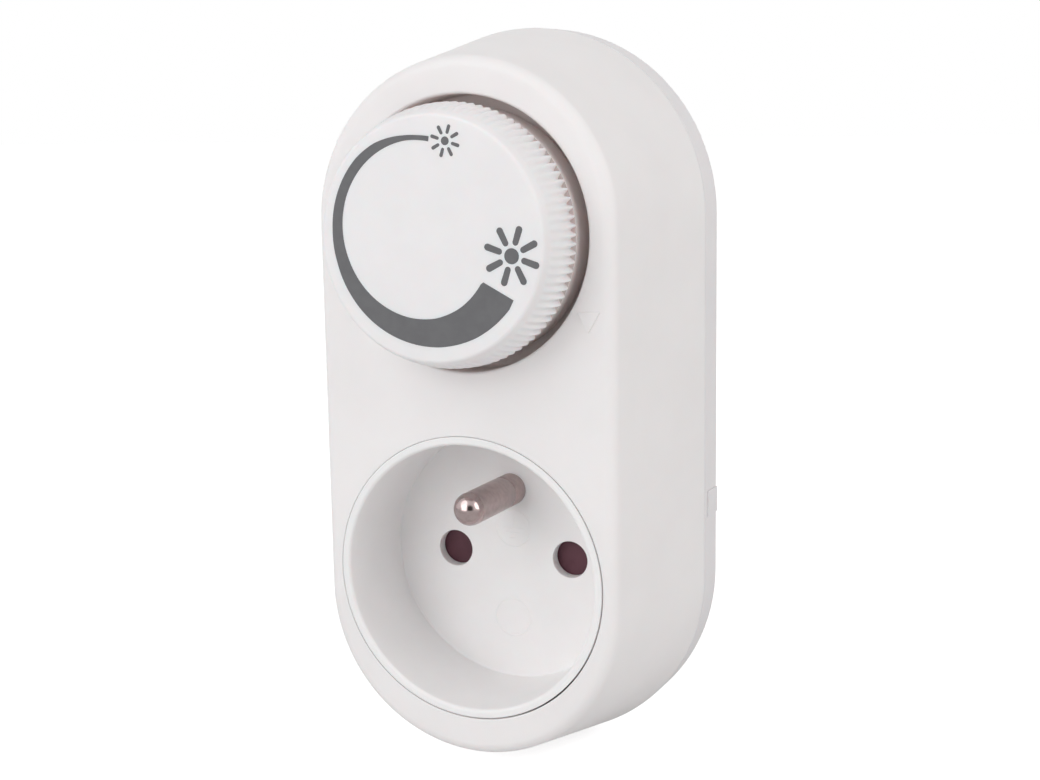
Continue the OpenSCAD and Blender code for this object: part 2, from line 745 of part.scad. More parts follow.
module shutter_spring() color("dimgray") placed() {
    wire = spring_wire / 2;
    coil_r = shutter_hub_d / 2 + spring_gap + wire;
    first = shutter_rear + shutter_gap + wire;
    steps = 16;
    rings = [for (i = [0:spring_turns * steps])
        let (a = i * 360 / steps, y = first + spring_pitch * i / steps)
        [for (j = [0:5]) let (b = j * 60, r = coil_r + wire * cos(b))
            [r * cos(a), y + wire * sin(b), r * sin(a)]]];
    swept(rings);
}

// Contacts

module tower_outline(grow) square([2 * (contact_out + grow), contact_w + 2 * grow], center = true);

module contact_carrier() color("ivory") placed() {
    tower_in = seat_gap;
    difference() {
        union() {
            bar(0, 0, rim_r, insert_rear, carrier_rear);
            for (s = [-1, 1])
                translate([s * pin_x, 0, 0]) along_y(carrier_rear - over, carrier_rear + tower_h)
                    tower_outline(tower_in + tower_wall);
        }
        for (s = [-1, 1]) {
            translate([s * pin_x, 0, 0]) along_y(carrier_rear, carrier_rear + tower_h + over)
                tower_outline(tower_in);
            bar(s * pin_x, 0, hole_d / 2, insert_rear - over, carrier_rear + over);
        }
        for (p = carrier_screw_places)
            bar(p[0], p[1], small_screw_r + screw_fit, insert_rear - over, carrier_rear + over);
        bar(0, earth_rise, earth_shank_d / 2 + rivet_fit, insert_rear - over, carrier_rear + over);
    }
}

module carrier_screws() color("silver") placed()
    for (p = carrier_screw_places)
        screw(p[0], p[1], carrier_rear, small_screw_l, small_screw_r, small_head_d / 2, small_head_h);

// Two spring arms and a base, open towards the socket
module contact_clip(base) {
    arm_end = base + strip_t;
    translate([0, 0, -contact_w / 2]) linear_extrude(contact_w)
        polygon([[-contact_out, contact_front], [-contact_in, contact_front], [-contact_in, base],
            [contact_in, base], [contact_in, contact_front], [contact_out, contact_front],
            [contact_out, arm_end], [-contact_out, arm_end]]);
}

module live_contact() color("goldenrod") placed() translate([pin_x, 0, 0]) contact_clip(live_base);

module neutral_contact() color("goldenrod") placed() translate([-pin_x, 0, 0])
    difference() {
        contact_clip(neutral_base);
        bar(0, 0, pin_tail_d / 2 + rivet_fit, neutral_base - over, neutral_base + strip_t + over);
    }

// Plug

module plug_pin(x) {
    pin_r = plug_pin_d / 2;
    shank = pin_shank_d / 2;
    tail = pin_tail_d / 2;
    collar = pin_collar_d / 2;
    collar_front = face_inner - pin_collar_t;
    dome_y = plug_face + plug_pin_l - pin_r;
    spun(x) {
        half_disc(pin_r, dome_y);
        polygon([[0, tail_front], [tail, tail_front], [tail, collar_front], [collar, collar_front],
            [collar, face_inner], [shank, face_inner], [shank, plug_face], [pin_r, plug_face],
            [pin_r, dome_y], [0, dome_y]]);
    }
}

module live_pin() color("lightgray") placed() plug_pin(pin_x);

module neutral_pin() color("lightgray") placed() plug_pin(-pin_x);

module earth_tube() color("goldenrod") placed()
    turned([[earth_tail_d / 2 + rivet_fit, tube_front - strip_t], [tube_r, tube_front - strip_t],
        [tube_r, face_inner], [tube_bore_d / 2, face_inner], [tube_bore_d / 2, tube_front],
        [earth_tail_d / 2 + rivet_fit, tube_front]], 0, earth_rise);

module earth_bracket() color("goldenrod") placed() {
    strip_front = face_inner - strip_back;
    reach = plug_d / 2 - clip_sink;
    eye_r = tube_r + strip_t;
    difference() {
        union() {
            translate([-clip_w / 2, strip_front, -reach]) cube([clip_w, strip_t, 2 * reach]);
            bar(0, earth_rise, eye_r, strip_front, strip_front + strip_t);
            for (s = [-1, 1])
                translate([0, strip_front + strip_t / 2, s * (reach - strip_t / 2)])
                    cube([clip_w, clip_l, strip_t], center = true);
        }
        bar(0, earth_rise, tube_r + rivet_fit, strip_front - over, strip_front + strip_t + over);
    }
}

// Knob and potentiometer

// Ribs around the knob, cut to its tapered side
module knob_ribs(front, inside) {
    front_tip = knob_half(front) - rib_step;
    tip = knob_r - rib_step;
    intersection() {
        along_y(front, rib_end)
            for (i = [0:rib_count - 1])
                rotate(i * 360 / rib_count) translate([inside, -rib_w / 2]) square([knob_r - inside, rib_w]);
        turned([[0, front - over], [front_tip, front - over], [front_tip, front], [tip, taper_end],
            [tip, rib_end + over], [0, rib_end + over]]);
    }
}

// Section of the shaft with its flat
module flatted(r, flat) difference() {
    circle(r, $fn = small_fn);
    translate([-r, r - flat]) square([2 * r, r]);
}

// Section of the knob's face, with its rounded edge
module cap_section(face, rear) {
    slant = atan(knob_slope);
    tangent_y = knob_edge - knob_round * sin(slant);
    round_x = knob_half(tangent_y) - knob_round * cos(slant);
    polygon([[0, face], [round_x, face], [round_x, knob_edge], [knob_half(tangent_y), tangent_y],
        [knob_half(rear), rear], [0, rear]]);
    translate([round_x, knob_edge]) circle(knob_round);
}

module dimmer_knob() color("white") placed() translate([0, 0, knob_centre]) {
    face = -knob_rise;
    inside = face + knob_face_t;
    front_root = knob_half(knob_edge) - 2 * rib_step;
    bore_r = skirt_r - knob_wall;
    difference() {
        union() {
            difference() {
                union() {
                    spun() cap_section(face, knob_edge + knob_rim_h);
                    turned([[0, knob_edge], [front_root, knob_edge], [rib_root, taper_end], [rib_root, rib_end],
                        [relief_r, rib_end], [relief_r, relief_end], [skirt_r, relief_end], [skirt_r, knob_sink],
                        [0, knob_sink]]);
                    knob_ribs(knob_edge, front_root - rib_h);
                }
                turned([[0, inside], [front_root - knob_wall, inside], [relief_r - knob_wall, taper_end],
                    [relief_r - knob_wall, relief_end], [bore_r, relief_end + knob_wall], [bore_r, knob_sink + over],
                    [0, knob_sink + over]]);
            }
            bar(0, 0, hub_d / 2, inside - over, hub_end);
        }
        along_y(shaft_front - seat_gap, hub_end + over) flatted(shaft_r + knob_fit, shaft_flat);
    }
}

module pot_shaft() color("silver") placed() translate([0, 0, knob_centre]) {
    rotor_r = pot_d / 2 - pot_wall - rotor_gap;
    along_y(shaft_front, hub_end) flatted(shaft_r, shaft_flat);
    bar(0, 0, shaft_r, hub_end, rotor_front);
    bar(0, 0, rotor_r, rotor_front, wiper_front);
}

module pot_wiper() color("goldenrod") placed() translate([0, 0, knob_centre]) {
    ring_r = shaft_r;
    arm_l = pot_d / 2 - pot_wall - rotor_gap;
    arm_w = ring_r;
    along_y(wiper_front, wiper_front + wiper_t) {
        circle(ring_r, $fn = small_fn);
        translate([0, -arm_w / 2]) square([arm_l - arm_w / 2, arm_w]);
    }
}

module pot_housing() color("#3a3d42") placed() {
    r = pot_d / 2;
    bore = shaft_r + shaft_fit;
    plate = pot_front + pot_wall;
    turned([[bore, pot_front - bushing_l], [bushing_d / 2, pot_front - bushing_l], [bushing_d / 2, pot_front],
        [r, pot_front], [r, wafer_front], [r - pot_wall, wafer_front], [r - pot_wall, plate], [bore, plate]],
        0, knob_centre);
}

module pot_wafer() color("saddlebrown") placed() {
    bar(0, knob_centre, pot_d / 2, wafer_front, pot_rear);
    leads(wafer_leads, pot_rear - over, board_rear);
}

// Board and components

module leads(places, y0, y1)
    for (p = places)
        bar(p[0], p[1], lead_r, y0, y1, $fn = small_fn);

module circuit_board() color("darkgreen") placed()
    difference() {
        along_y(board_front, board_rear) {
            translate([-board_half, board_low]) square([board_w, upper_centre - board_low]);
            translate([0, upper_centre]) circle(board_half);
        }
        for (p = screw_places)
            bar(p[0], p[1], pillar_r + 3 * seat_gap, board_front - over, board_rear + over);
        for (p = post_places)
            bar(p[0], p[1], small_screw_r + screw_fit, board_front - over, board_rear + over);
        for (p = board_leads)
            bar(p[0], p[1], lead_r + lead_fit, board_front - over, board_rear + over, $fn = small_fn);
    }

module board_screws() color("silver") placed()
    for (p = post_places)
        screw(p[0], p[1], board_rear, small_screw_l, small_screw_r, small_head_d / 2, small_head_h);

module triac() color("#24262a") placed() {
    translate([-triac_w / 2, board_rear, sink_z0]) cube([triac_w, triac_t, triac_body]);
    difference() {
        translate([-triac_w / 2, triac_rear - tab_t, sink_z0 + triac_body - over])
            cube([triac_w, tab_t, triac_tab + over]);
        bar(0, tab_z, small_screw_r + screw_fit, triac_rear - tab_t - over, triac_rear + over);
    }
    leads(triac_leads, board_front, board_rear + over);
}

module heat_sink() color("lightsteelblue") placed()
    difference() {
        union() {
            translate([-sink_w / 2, triac_rear, sink_z0]) cube([sink_w, sink_t, sink_z1 - sink_z0]);
            for (s = [-1, 1])
                translate([s * (sink_w - sink_t) / 2 - sink_t / 2, board_rear, sink_z0])
                    cube([sink_t, triac_rear - board_rear + over, sink_leg]);
        }
        bar(0, tab_z, small_screw_r + screw_fit, triac_rear - over, triac_rear + sink_t + over);
    }

module triac_screw() color("silver") placed()
    screw(0, tab_z, triac_rear + sink_t, sink_t + tab_t + part_gap, small_screw_r, small_head_d / 2, small_head_h);

module choke_core() color("khaki") placed() {
    core_front = board_rear + winding_t;
    core_rear = board_rear + choke_h - winding_t;
    turned([[core_in, core_front], [core_out, core_front], [core_out, core_rear], [core_in, core_rear]],
        choke_x, choke_z);
}

module choke_winding() color("chocolate") placed() {
    hole_r = choke_hole_d / 2;
    rear = board_rear + choke_h;
    start = -90 - winding_sweep / 2;
    translate([choke_x, 0, choke_z]) rotate([90, 0, 0]) rotate([0, 0, start])
        rotate_extrude(angle = winding_sweep)
            difference() {
                translate([hole_r, -rear]) square([choke_r - hole_r, choke_h]);
                translate([core_in - rivet_fit, winding_t - rivet_fit - rear])
                    square([core_out - core_in + 2 * rivet_fit, choke_h - 2 * winding_t + 2 * rivet_fit]);
            }
    leads(choke_leads, board_front, board_rear + winding_t / 2);
}

module film_capacitor() color("firebrick") placed() {
    translate([cap_x - cap_w / 2, board_rear, cap_zc - cap_z / 2])
        cube([cap_w, rear_inner - cap_clear - board_rear, cap_z]);
    leads(cap_leads, board_front, board_rear + over);
}

module resistors() color("tan") placed()
    for (i = [0:2]) {
        zc = resistor_z - i * resistor_pitch;
        yc = board_rear + seat_gap + resistor_d / 2;
        translate([resistor_x - resistor_l / 2, yc, zc]) rotate([0, 90, 0])
            cylinder(d = resistor_d, h = resistor_l, $fn = small_fn);
        leads([for (s = [0, 1]) resistor_leads[2 * i + s]], board_front, yc);
    }

module fuse() color("lightcyan") placed() translate([fuse_x - fuse_l / 2, fuse_y, fuse_z]) rotate([0, 90, 0]) {
    cylinder(d = fuse_d - 2 * seat_gap, h = fuse_l);
    for (x = [0, fuse_l - fuse_cap_l])
        translate([0, 0, x]) cylinder(d = fuse_d, h = fuse_cap_l);
}

module fuse_clips() color("goldenrod") placed()
    for (s = [-1, 1])
        translate([fuse_x + s * (fuse_l - fuse_cap_l) / 2, 0, fuse_z])
            difference() {
                translate([-fuse_cap_l / 2 + over, board_rear, -clip_half])
                    cube([fuse_cap_l - 2 * over, fuse_y - board_rear + fuse_d / 4, 2 * clip_half]);
                translate([-fuse_cap_l, fuse_y, 0]) rotate([0, 90, 0])
                    cylinder(r = fuse_d / 2 + rivet_fit, h = 2 * fuse_cap_l);
            }

// A wire along straight runs between points, with round elbows
module wire(points) {
    for (i = [0:len(points) - 2]) {
        a = points[i];
        b = points[i + 1];
        length = norm(b - a);
        turn = b[2] != a[2] ? (b[2] > a[2] ? [0, 0, 0] : [180, 0, 0]) : (b[1] > a[1] ? [-90, 0, 0] : [90, 0, 0]);
        translate(a) rotate(turn) cylinder(r = wire_r, h = length, $fn = small_fn);
    }
    for (i = [1:len(points) - 2])
        translate(points[i]) sphere(r = wire_r, $fn = small_fn);
}

module line_wire() color("saddlebrown") placed()
    wire([[line_x, line_tail_y, pin_tail_d / 2 + seat_gap], [line_x, line_tail_y, line_turn_z],
        [line_x, wire_y, line_turn_z], [line_x, wire_y, line_z], [line_x, board_rear, line_z]]);

module load_wire() color("black") placed()
    wire([[load_x, wire_y, tower_top + seat_gap], [load_x, wire_y, load_z], [load_x, board_rear, load_z]]);

front_shell();
rear_cover();
socket_insert();
earth_pin();
shutter();
shutter_spring();
contact_carrier();
carrier_screws();
insert_screws();
live_contact();
neutral_contact();
live_pin();
neutral_pin();
earth_tube();
earth_bracket();
dimmer_knob();
pot_shaft();
pot_wiper();
pot_housing();
pot_wafer();
circuit_board();
board_screws();
triac();
heat_sink();
triac_screw();
choke_core();
choke_winding();
film_capacitor();
resistors();
fuse();
fuse_clips();
line_wire();
load_wire();
case_screws();
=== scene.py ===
import math

import bmesh
import bpy
from mathutils import Matrix, Vector


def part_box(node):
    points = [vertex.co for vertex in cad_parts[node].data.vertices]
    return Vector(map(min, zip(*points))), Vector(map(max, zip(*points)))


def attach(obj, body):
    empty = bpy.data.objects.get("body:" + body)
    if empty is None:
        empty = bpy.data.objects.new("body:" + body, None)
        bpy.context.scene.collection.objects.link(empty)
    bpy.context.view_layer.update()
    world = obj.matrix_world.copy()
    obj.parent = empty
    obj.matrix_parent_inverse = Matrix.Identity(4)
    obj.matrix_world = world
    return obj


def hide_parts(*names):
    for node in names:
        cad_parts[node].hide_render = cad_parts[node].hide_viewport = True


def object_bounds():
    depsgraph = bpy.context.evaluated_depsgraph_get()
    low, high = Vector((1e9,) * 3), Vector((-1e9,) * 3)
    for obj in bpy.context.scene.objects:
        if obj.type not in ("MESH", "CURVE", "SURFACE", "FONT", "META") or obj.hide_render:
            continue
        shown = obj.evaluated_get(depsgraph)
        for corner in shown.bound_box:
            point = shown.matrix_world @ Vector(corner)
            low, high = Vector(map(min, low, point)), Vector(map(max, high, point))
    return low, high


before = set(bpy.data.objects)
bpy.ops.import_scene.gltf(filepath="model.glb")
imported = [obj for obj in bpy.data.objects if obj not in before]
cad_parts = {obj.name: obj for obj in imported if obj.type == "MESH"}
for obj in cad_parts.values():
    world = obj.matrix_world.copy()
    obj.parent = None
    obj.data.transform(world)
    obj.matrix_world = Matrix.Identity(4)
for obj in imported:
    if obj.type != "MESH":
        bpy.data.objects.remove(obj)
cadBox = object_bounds()
print("frame loaded:", len(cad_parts), "nodes")

mm = 0.001
plugFace = 45.7  # depth of the plug's face behind the front face, where y is 0


def at(x, depth, z):
    return Vector((x * mm, (depth - plugFace) * mm, z * mm))


def srgb(*parts):
    return tuple(((p / 255 + 0.055) / 1.055) ** 2.4 for p in parts)


# Camera at the photo's angle
view = {"azimuth": 25.0, "elevation": 9.41, "roll": -0.94, "distance": 227.5,
        "target": (8.76, 0.0, 27.89), "lens": 57.1, "sensor": 36, "clip": (0.01, 20)}


def addCamera(s):
    azimuth, elevation, roll = (math.radians(s[k]) for k in ("azimuth", "elevation", "roll"))
    back = Vector((math.sin(azimuth) * math.cos(elevation), -math.cos(azimuth) * math.cos(elevation),
                   math.sin(elevation)))
    level = Vector((math.cos(azimuth), math.sin(azimuth), 0))
    upright = back.cross(level)
    right = level * math.cos(roll) + upright * math.sin(roll)
    up = upright * math.cos(roll) - level * math.sin(roll)
    data = bpy.data.cameras.new("photoCamera")
    data.sensor_width = s["sensor"]
    data.sensor_fit = "HORIZONTAL"
    data.lens = s["lens"]
    data.clip_start, data.clip_end = s["clip"]
    camera = bpy.data.objects.new("photoCamera", data)
    eye = at(*s["target"]) + back * s["distance"] * mm
    turn = Matrix((right, up, back)).transposed().to_4x4()
    camera.matrix_world = Matrix.Translation(eye) @ turn
    bpy.context.scene.collection.objects.link(camera)
    bpy.context.scene.camera = camera


addCamera(view)
print("camera set")


# Small helpers for node trees
def addNode(tree, kind, **values):
    node = tree.nodes.new(kind)
    for name, value in values.items():
        setattr(node, name, value)
    return node


def setInputs(node, values):
    for label, value in values.items():
        node.inputs[label].default_value = value


def startMaterial(name):
    material = bpy.data.materials.new(name)
    material.use_nodes = True
    tree = material.node_tree
    return material, tree, tree.nodes["Principled BSDF"]


def noiseOn(tree, size, detail=2.0, stretch=(1, 1, 1)):
    coords = addNode(tree, "ShaderNodeTexCoord")
    mapping = addNode(tree, "ShaderNodeMapping")
    mapping.inputs["Scale"].default_value = stretch
    noise = addNode(tree, "ShaderNodeTexNoise")
    setInputs(noise, {"Scale": 1 / (size * mm), "Detail": detail})
    tree.links.new(coords.outputs["Object"], mapping.inputs["Vector"])
    tree.links.new(mapping.outputs["Vector"], noise.inputs["Vector"])
    return noise


def colourBetween(tree, factor, first, second, low=0.35, high=0.65):
    ramp = addNode(tree, "ShaderNodeValToRGB")
    ramp.color_ramp.elements[0].position = low
    ramp.color_ramp.elements[0].color = (*first, 1)
    ramp.color_ramp.elements[1].position = high
    ramp.color_ramp.elements[1].color = (*second, 1)
    tree.links.new(factor, ramp.inputs["Fac"])
    return ramp.outputs["Color"]


def paint(tree, shader, factor, *colours):
    tree.links.new(colourBetween(tree, factor, *colours), shader.inputs["Base Color"])


def rangeNode(tree, value, *ends):
    span = addNode(tree, "ShaderNodeMapRange")
    setInputs(span, dict(zip(("From Min", "From Max", "To Min", "To Max"), ends)))
    tree.links.new(value, span.inputs["Value"])
    return span.outputs["Result"]


noiseShare = (0.3, 0.7)  # most of a noise lies between these


def roughen(tree, shader, factor, rough):
    tree.links.new(rangeNode(tree, factor, *noiseShare, *rough), shader.inputs["Roughness"])


def objectParts(tree):
    coords = addNode(tree, "ShaderNodeTexCoord")
    parts = addNode(tree, "ShaderNodeSeparateXYZ")
    tree.links.new(coords.outputs["Object"], parts.inputs["Vector"])
    return coords.outputs["Object"], parts


def mathNode(tree, operation, first, second=None):
    node = addNode(tree, "ShaderNodeMath", operation=operation)
    for socket, value in zip(node.inputs, (first, second)):
        if isinstance(value, (int, float)):
            socket.default_value = value
        elif value is not None:
            tree.links.new(value, socket)
    return node.outputs[0]


def addBump(tree, shader, height, strength, distance, below=None):
    bump = addNode(tree, "ShaderNodeBump")
    setInputs(bump, {"Strength": strength, "Distance": distance * mm})
    tree.links.new(height, bump.inputs["Height"])
    if below:
        tree.links.new(below.outputs["Normal"], bump.inputs["Normal"])
    tree.links.new(bump.outputs["Normal"], shader.inputs["Normal"])
    return bump


# Painted shade: a warm, darker tint painted on the plastic deep in the recess round the knob, where shade falls
recessPaintedShade = {"axisZ": 49.1, "reach": 19.3, "edge": 0.15, "tint": (1.0, 0.93, 0.905)}


# Paints shade into the colour: multiplies it by the warm tint where the surface lies deep in the knob recess
def addPaintedShade(tree, colour, depths, s):
    spot, parts = objectParts(tree)
    deep = rangeNode(tree, parts.outputs["Y"], *((d - plugFace) * mm for d in depths))
    flat = addNode(tree, "ShaderNodeVectorMath", operation="MULTIPLY_ADD")
    flat.inputs[1].default_value = (1, 0, 1)
    flat.inputs[2].default_value = (0, 0, -s["axisZ"] * mm)
    tree.links.new(spot, flat.inputs[0])
    away = addNode(tree, "ShaderNodeVectorMath", operation="LENGTH")
    tree.links.new(flat.outputs["Vector"], away.inputs[0])
    near = rangeNode(tree, away.outputs["Value"], (s["reach"] + s["edge"]) * mm, s["reach"] * mm)
    shadeTinted = addNode(tree, "ShaderNodeMix", data_type="RGBA", blend_type="MULTIPLY")
    factor, first, second = (shadeTinted.inputs[i] for i in (0, 6, 7))  # the colour sockets of this node
    second.default_value = (*s["tint"], 1)
    tree.links.new(mathNode(tree, "MULTIPLY", deep, near), factor)
    tree.links.new(colour, first)
    return shadeTinted.outputs[2]


# Heights of the bumps in mm, and how far light travels inside the white plastics
bumpHeight = {"wave": 0.4, "grain": 0.03, "streak": 0.02}
inside = {"radius": (1.0, 0.5, 0.42), "scale": 1.2}


# Moulded plastic: soft mottling, spark-eroded grain and a faint flow waviness
def mouldedPlastic(name, s):
    material, tree, shader = startMaterial(name)
    patch = noiseOn(tree, s["patch"], detail=3.0)
    grain = noiseOn(tree, s["grain"], detail=2.0)
    flow = noiseOn(tree, s["flow"], detail=1.0, stretch=s["flowStretch"])
    colour = colourBetween(tree, patch.outputs["Fac"], s["colour"], s["shade"])
    # Painted shade deep in the knob recess, for the plastics that list its depths
    if "paintedShade" in s:
        colour = addPaintedShade(tree, colour, s["paintedShade"], recessPaintedShade)
    tree.links.new(colour, shader.inputs["Base Color"])
    roughen(tree, shader, grain.outputs["Fac"], s["rough"])
    wavy = addBump(tree, shader, flow.outputs["Fac"], s["wave"], bumpHeight["wave"])
    addBump(tree, shader, grain.outputs["Fac"], s["relief"], bumpHeight["grain"], wavy)
    setInputs(shader, {"Specular IOR Level": s["gloss"]})
    if "soft" in s:
        setInputs(shader, {"Subsurface Weight": s["soft"], "Subsurface Radius": inside["radius"],
                           "Subsurface Scale": inside["scale"] * mm})
    return material


# Metal: drawn or turned streaks along the given stretch
def workedMetal(name, s):
    material, tree, shader = startMaterial(name)
    streak = noiseOn(tree, s["streak"], detail=3.0, stretch=s["stretch"])
    cloud = noiseOn(tree, s["cloud"], detail=2.0)
    paint(tree, shader, cloud.outputs["Fac"], s["colour"], s["shade"])
    roughen(tree, shader, streak.outputs["Fac"], s["rough"])
    addBump(tree, shader, streak.outputs["Fac"], s["relief"], bumpHeight["streak"])
    setInputs(shader, {"Metallic": 1.0})
    return material


plasticBase = {"grain": 0.3, "wave": 0.02, "relief": 0.05, "gloss": 0.35, "flowStretch": (1, 1, 0.5)}
# The paintedShade entry gives the depths in mm over which painted shade darkens the plastic in the knob recess
plastics = {
    "shellWhite": {"colour": srgb(244, 241, 241), "shade": srgb(241, 238, 238), "rough": (0.42, 0.52),
                   "soft": 0.15, "paintedShade": (0.3, 1.2), "patch": 14, "flow": 22},
    "coverWhite": {"colour": srgb(237, 234, 235), "shade": srgb(233, 230, 232), "rough": (0.44, 0.54),
                   "soft": 0.15, "patch": 12, "flow": 20},
    "insertWhite": {"colour": srgb(246, 244, 244), "shade": srgb(243, 241, 241), "rough": (0.40, 0.50),
                    "soft": 0.2, "patch": 10, "flow": 18},
    "knobWhite": {"colour": srgb(242, 240, 241), "shade": srgb(239, 237, 238), "rough": (0.38, 0.48),
                  "soft": 0.4, "paintedShade": (-2.4, -0.9), "patch": 9, "grain": 0.25, "flow": 15, "relief": 0.04},
    "printGrey": {"colour": srgb(110, 110, 112), "shade": srgb(106, 106, 108), "rough": (0.5, 0.6),
                  "patch": 1.5, "grain": 0.15, "flow": 8, "wave": 0.0, "relief": 0.06, "gloss": 0.25},
    "shutterMaroon": {"colour": srgb(92, 53, 64), "shade": srgb(82, 46, 56), "rough": (0.36, 0.46),
                      "patch": 3, "grain": 0.25, "flow": 6, "wave": 0.03},
    "carrierIvory": {"colour": srgb(232, 226, 208), "shade": srgb(224, 217, 198), "rough": (0.5, 0.6),
                     "patch": 8, "flow": 14, "relief": 0.06},
    "potBlack": {"colour": srgb(40, 40, 42), "shade": srgb(33, 33, 35), "rough": (0.45, 0.6),
                 "patch": 3, "grain": 0.25, "flow": 8, "relief": 0.08},
    "triacBlack": {"colour": srgb(32, 32, 33), "shade": srgb(26, 26, 27), "rough": (0.55, 0.7),
                   "patch": 2, "grain": 0.15, "flow": 6, "relief": 0.1},
    "waferBrown": {"colour": srgb(150, 98, 58), "shade": srgb(128, 80, 44), "rough": (0.5, 0.62),
                   "patch": 1.2, "grain": 0.2, "flow": 6, "relief": 0.06},
    "capacitorRed": {"colour": srgb(168, 52, 42), "shade": srgb(150, 42, 34), "rough": (0.22, 0.3),
                     "patch": 4, "grain": 0.6, "flow": 5, "wave": 0.08, "relief": 0.03, "gloss": 0.5},
    "wireBrown": {"colour": srgb(96, 58, 38), "shade": srgb(86, 50, 32), "rough": (0.42, 0.52),
                  "patch": 4, "flow": 6, "wave": 0.03},
    "wireBlack": {"colour": srgb(34, 34, 36), "shade": srgb(28, 28, 30), "rough": (0.42, 0.52),
                  "patch": 4, "flow": 6, "wave": 0.03},
}
metals = {
    "pinNickel": {"colour": (0.60, 0.57, 0.54), "shade": (0.55, 0.52, 0.49), "rough": (0.2, 0.3),
                  "streak": 0.5, "stretch": (3, 0.4, 3), "cloud": 3, "relief": 0.1},
    "screwSteel": {"colour": (0.56, 0.55, 0.52), "shade": (0.47, 0.46, 0.44), "rough": (0.3, 0.45),
                   "streak": 0.4, "stretch": (1, 4, 1), "cloud": 1.5, "relief": 0.12},
    "springSteel": {"colour": (0.5, 0.5, 0.5), "shade": (0.4, 0.4, 0.41), "rough": (0.25, 0.4),
                    "streak": 0.3, "stretch": (1, 1, 1), "cloud": 1, "relief": 0.1},
    "contactBrass": {"colour": (0.68, 0.47, 0.19), "shade": (0.58, 0.38, 0.14), "rough": (0.25, 0.42),
                     "streak": 0.5, "stretch": (0.4, 0.4, 3), "cloud": 2.5, "relief": 0.12},
    "shaftMetal": {"colour": (0.66, 0.66, 0.67), "shade": (0.58, 0.58, 0.6), "rough": (0.28, 0.4),
                   "streak": 0.4, "stretch": (0.5, 6, 0.5), "cloud": 2, "relief": 0.15},
    "sinkAluminium": {"colour": (0.68, 0.69, 0.71), "shade": (0.6, 0.61, 0.63), "rough": (0.35, 0.5),
                      "streak": 0.5, "stretch": (0.3, 1, 4), "cloud": 4, "relief": 0.12},
    "coreIron": {"colour": (0.55, 0.46, 0.2), "shade": (0.46, 0.38, 0.15), "rough": (0.5, 0.7),
                 "streak": 0.4, "stretch": (1, 1, 1), "cloud": 1.2, "relief": 0.25},
}
finish = {name: mouldedPlastic(name, {**plasticBase, **s}) for name, s in plastics.items()}
finish.update({name: workedMetal(name, s) for name, s in metals.items()})


# Earth pin: polished dome, turned and stained shank
def earthNickel(s):
    material, tree, shader = startMaterial("earthNickel")
    parts = objectParts(tree)[1]
    along = rangeNode(tree, parts.outputs["Y"], *((d - plugFace) * mm for d in s["polish"]))
    roughen(tree, shader, along, s["rough"])
    stain = noiseOn(tree, s["stain"], detail=4.0)
    paint(tree, shader, stain.outputs["Fac"], s["shade"], s["colour"], *s["stainShare"])
    turned = noiseOn(tree, s["turning"], detail=3.0, stretch=s["stretch"])
    addBump(tree, shader, turned.outputs["Fac"], s["relief"], bumpHeight["streak"])
    setInputs(shader, {"Metallic": 1.0})
    return material


earthLook = {"colour": (0.5, 0.405, 0.395), "shade": (0.44, 0.35, 0.345), "rough": (0.16, 0.33),
             "polish": (0.4, 1.6), "stain": 0.9, "stainShare": (0.38, 0.6), "turning": 0.5,
             "stretch": (0.6, 5, 0.6), "relief": 0.08}
finish["earthNickel"] = earthNickel(earthLook)


# Winding: lacquered copper with the turns as fine ridges
windingLook = {"bands": 700, "distortion": 0.6, "dark": (0.34, 0.13, 0.05), "bright": (0.62, 0.27, 0.12),
               "share": (0.1, 0.8), "rough": (0.4, 0.22), "ridge": 0.5, "height": 0.15, "lacquer": 0.4}


def windingCopper(s):
    material, tree, shader = startMaterial("windingCopper")
    coords = addNode(tree, "ShaderNodeTexCoord")
    wave = addNode(tree, "ShaderNodeTexWave", wave_type="BANDS", bands_direction="DIAGONAL")
    setInputs(wave, {"Scale": s["bands"], "Distortion": s["distortion"]})
    tree.links.new(coords.outputs["Object"], wave.inputs["Vector"])
    paint(tree, shader, wave.outputs["Fac"], s["dark"], s["bright"], *s["share"])
    roughen(tree, shader, wave.outputs["Fac"], s["rough"])
    addBump(tree, shader, wave.outputs["Fac"], s["ridge"], s["height"])
    setInputs(shader, {"Metallic": 1.0, "Coat Weight": s["lacquer"]})
    return material


# Board: green solder mask over faint copper tracks
boardLook = {"tracks": 90, "gap": 0.06, "gapSoft": 0.2, "mask": srgb(36, 98, 56), "maskTwo": srgb(40, 106, 60),
             "etched": srgb(26, 76, 42), "weave": 0.5, "rough": (0.25, 0.36), "ridge": 0.3, "height": 0.05}


def boardGreen(s):
    material, tree, shader = startMaterial("boardGreen")
    coords = addNode(tree, "ShaderNodeTexCoord")
    turn = addNode(tree, "ShaderNodeMapping")
    turn.inputs["Rotation"].default_value = (math.radians(90), 0, 0)
    tracks = addNode(tree, "ShaderNodeTexBrick")
    setInputs(tracks, {"Scale": s["tracks"], "Mortar Size": s["gap"], "Mortar Smooth": s["gapSoft"],
                       "Color1": (*s["mask"], 1), "Color2": (*s["maskTwo"], 1), "Mortar": (*s["etched"], 1)})
    tree.links.new(coords.outputs["Object"], turn.inputs["Vector"])
    tree.links.new(turn.outputs["Vector"], tracks.inputs["Vector"])
    tree.links.new(tracks.outputs["Color"], shader.inputs["Base Color"])
    roughen(tree, shader, noiseOn(tree, s["weave"]).outputs["Fac"], s["rough"])
    addBump(tree, shader, tracks.outputs["Fac"], s["ridge"], s["height"])
    return material


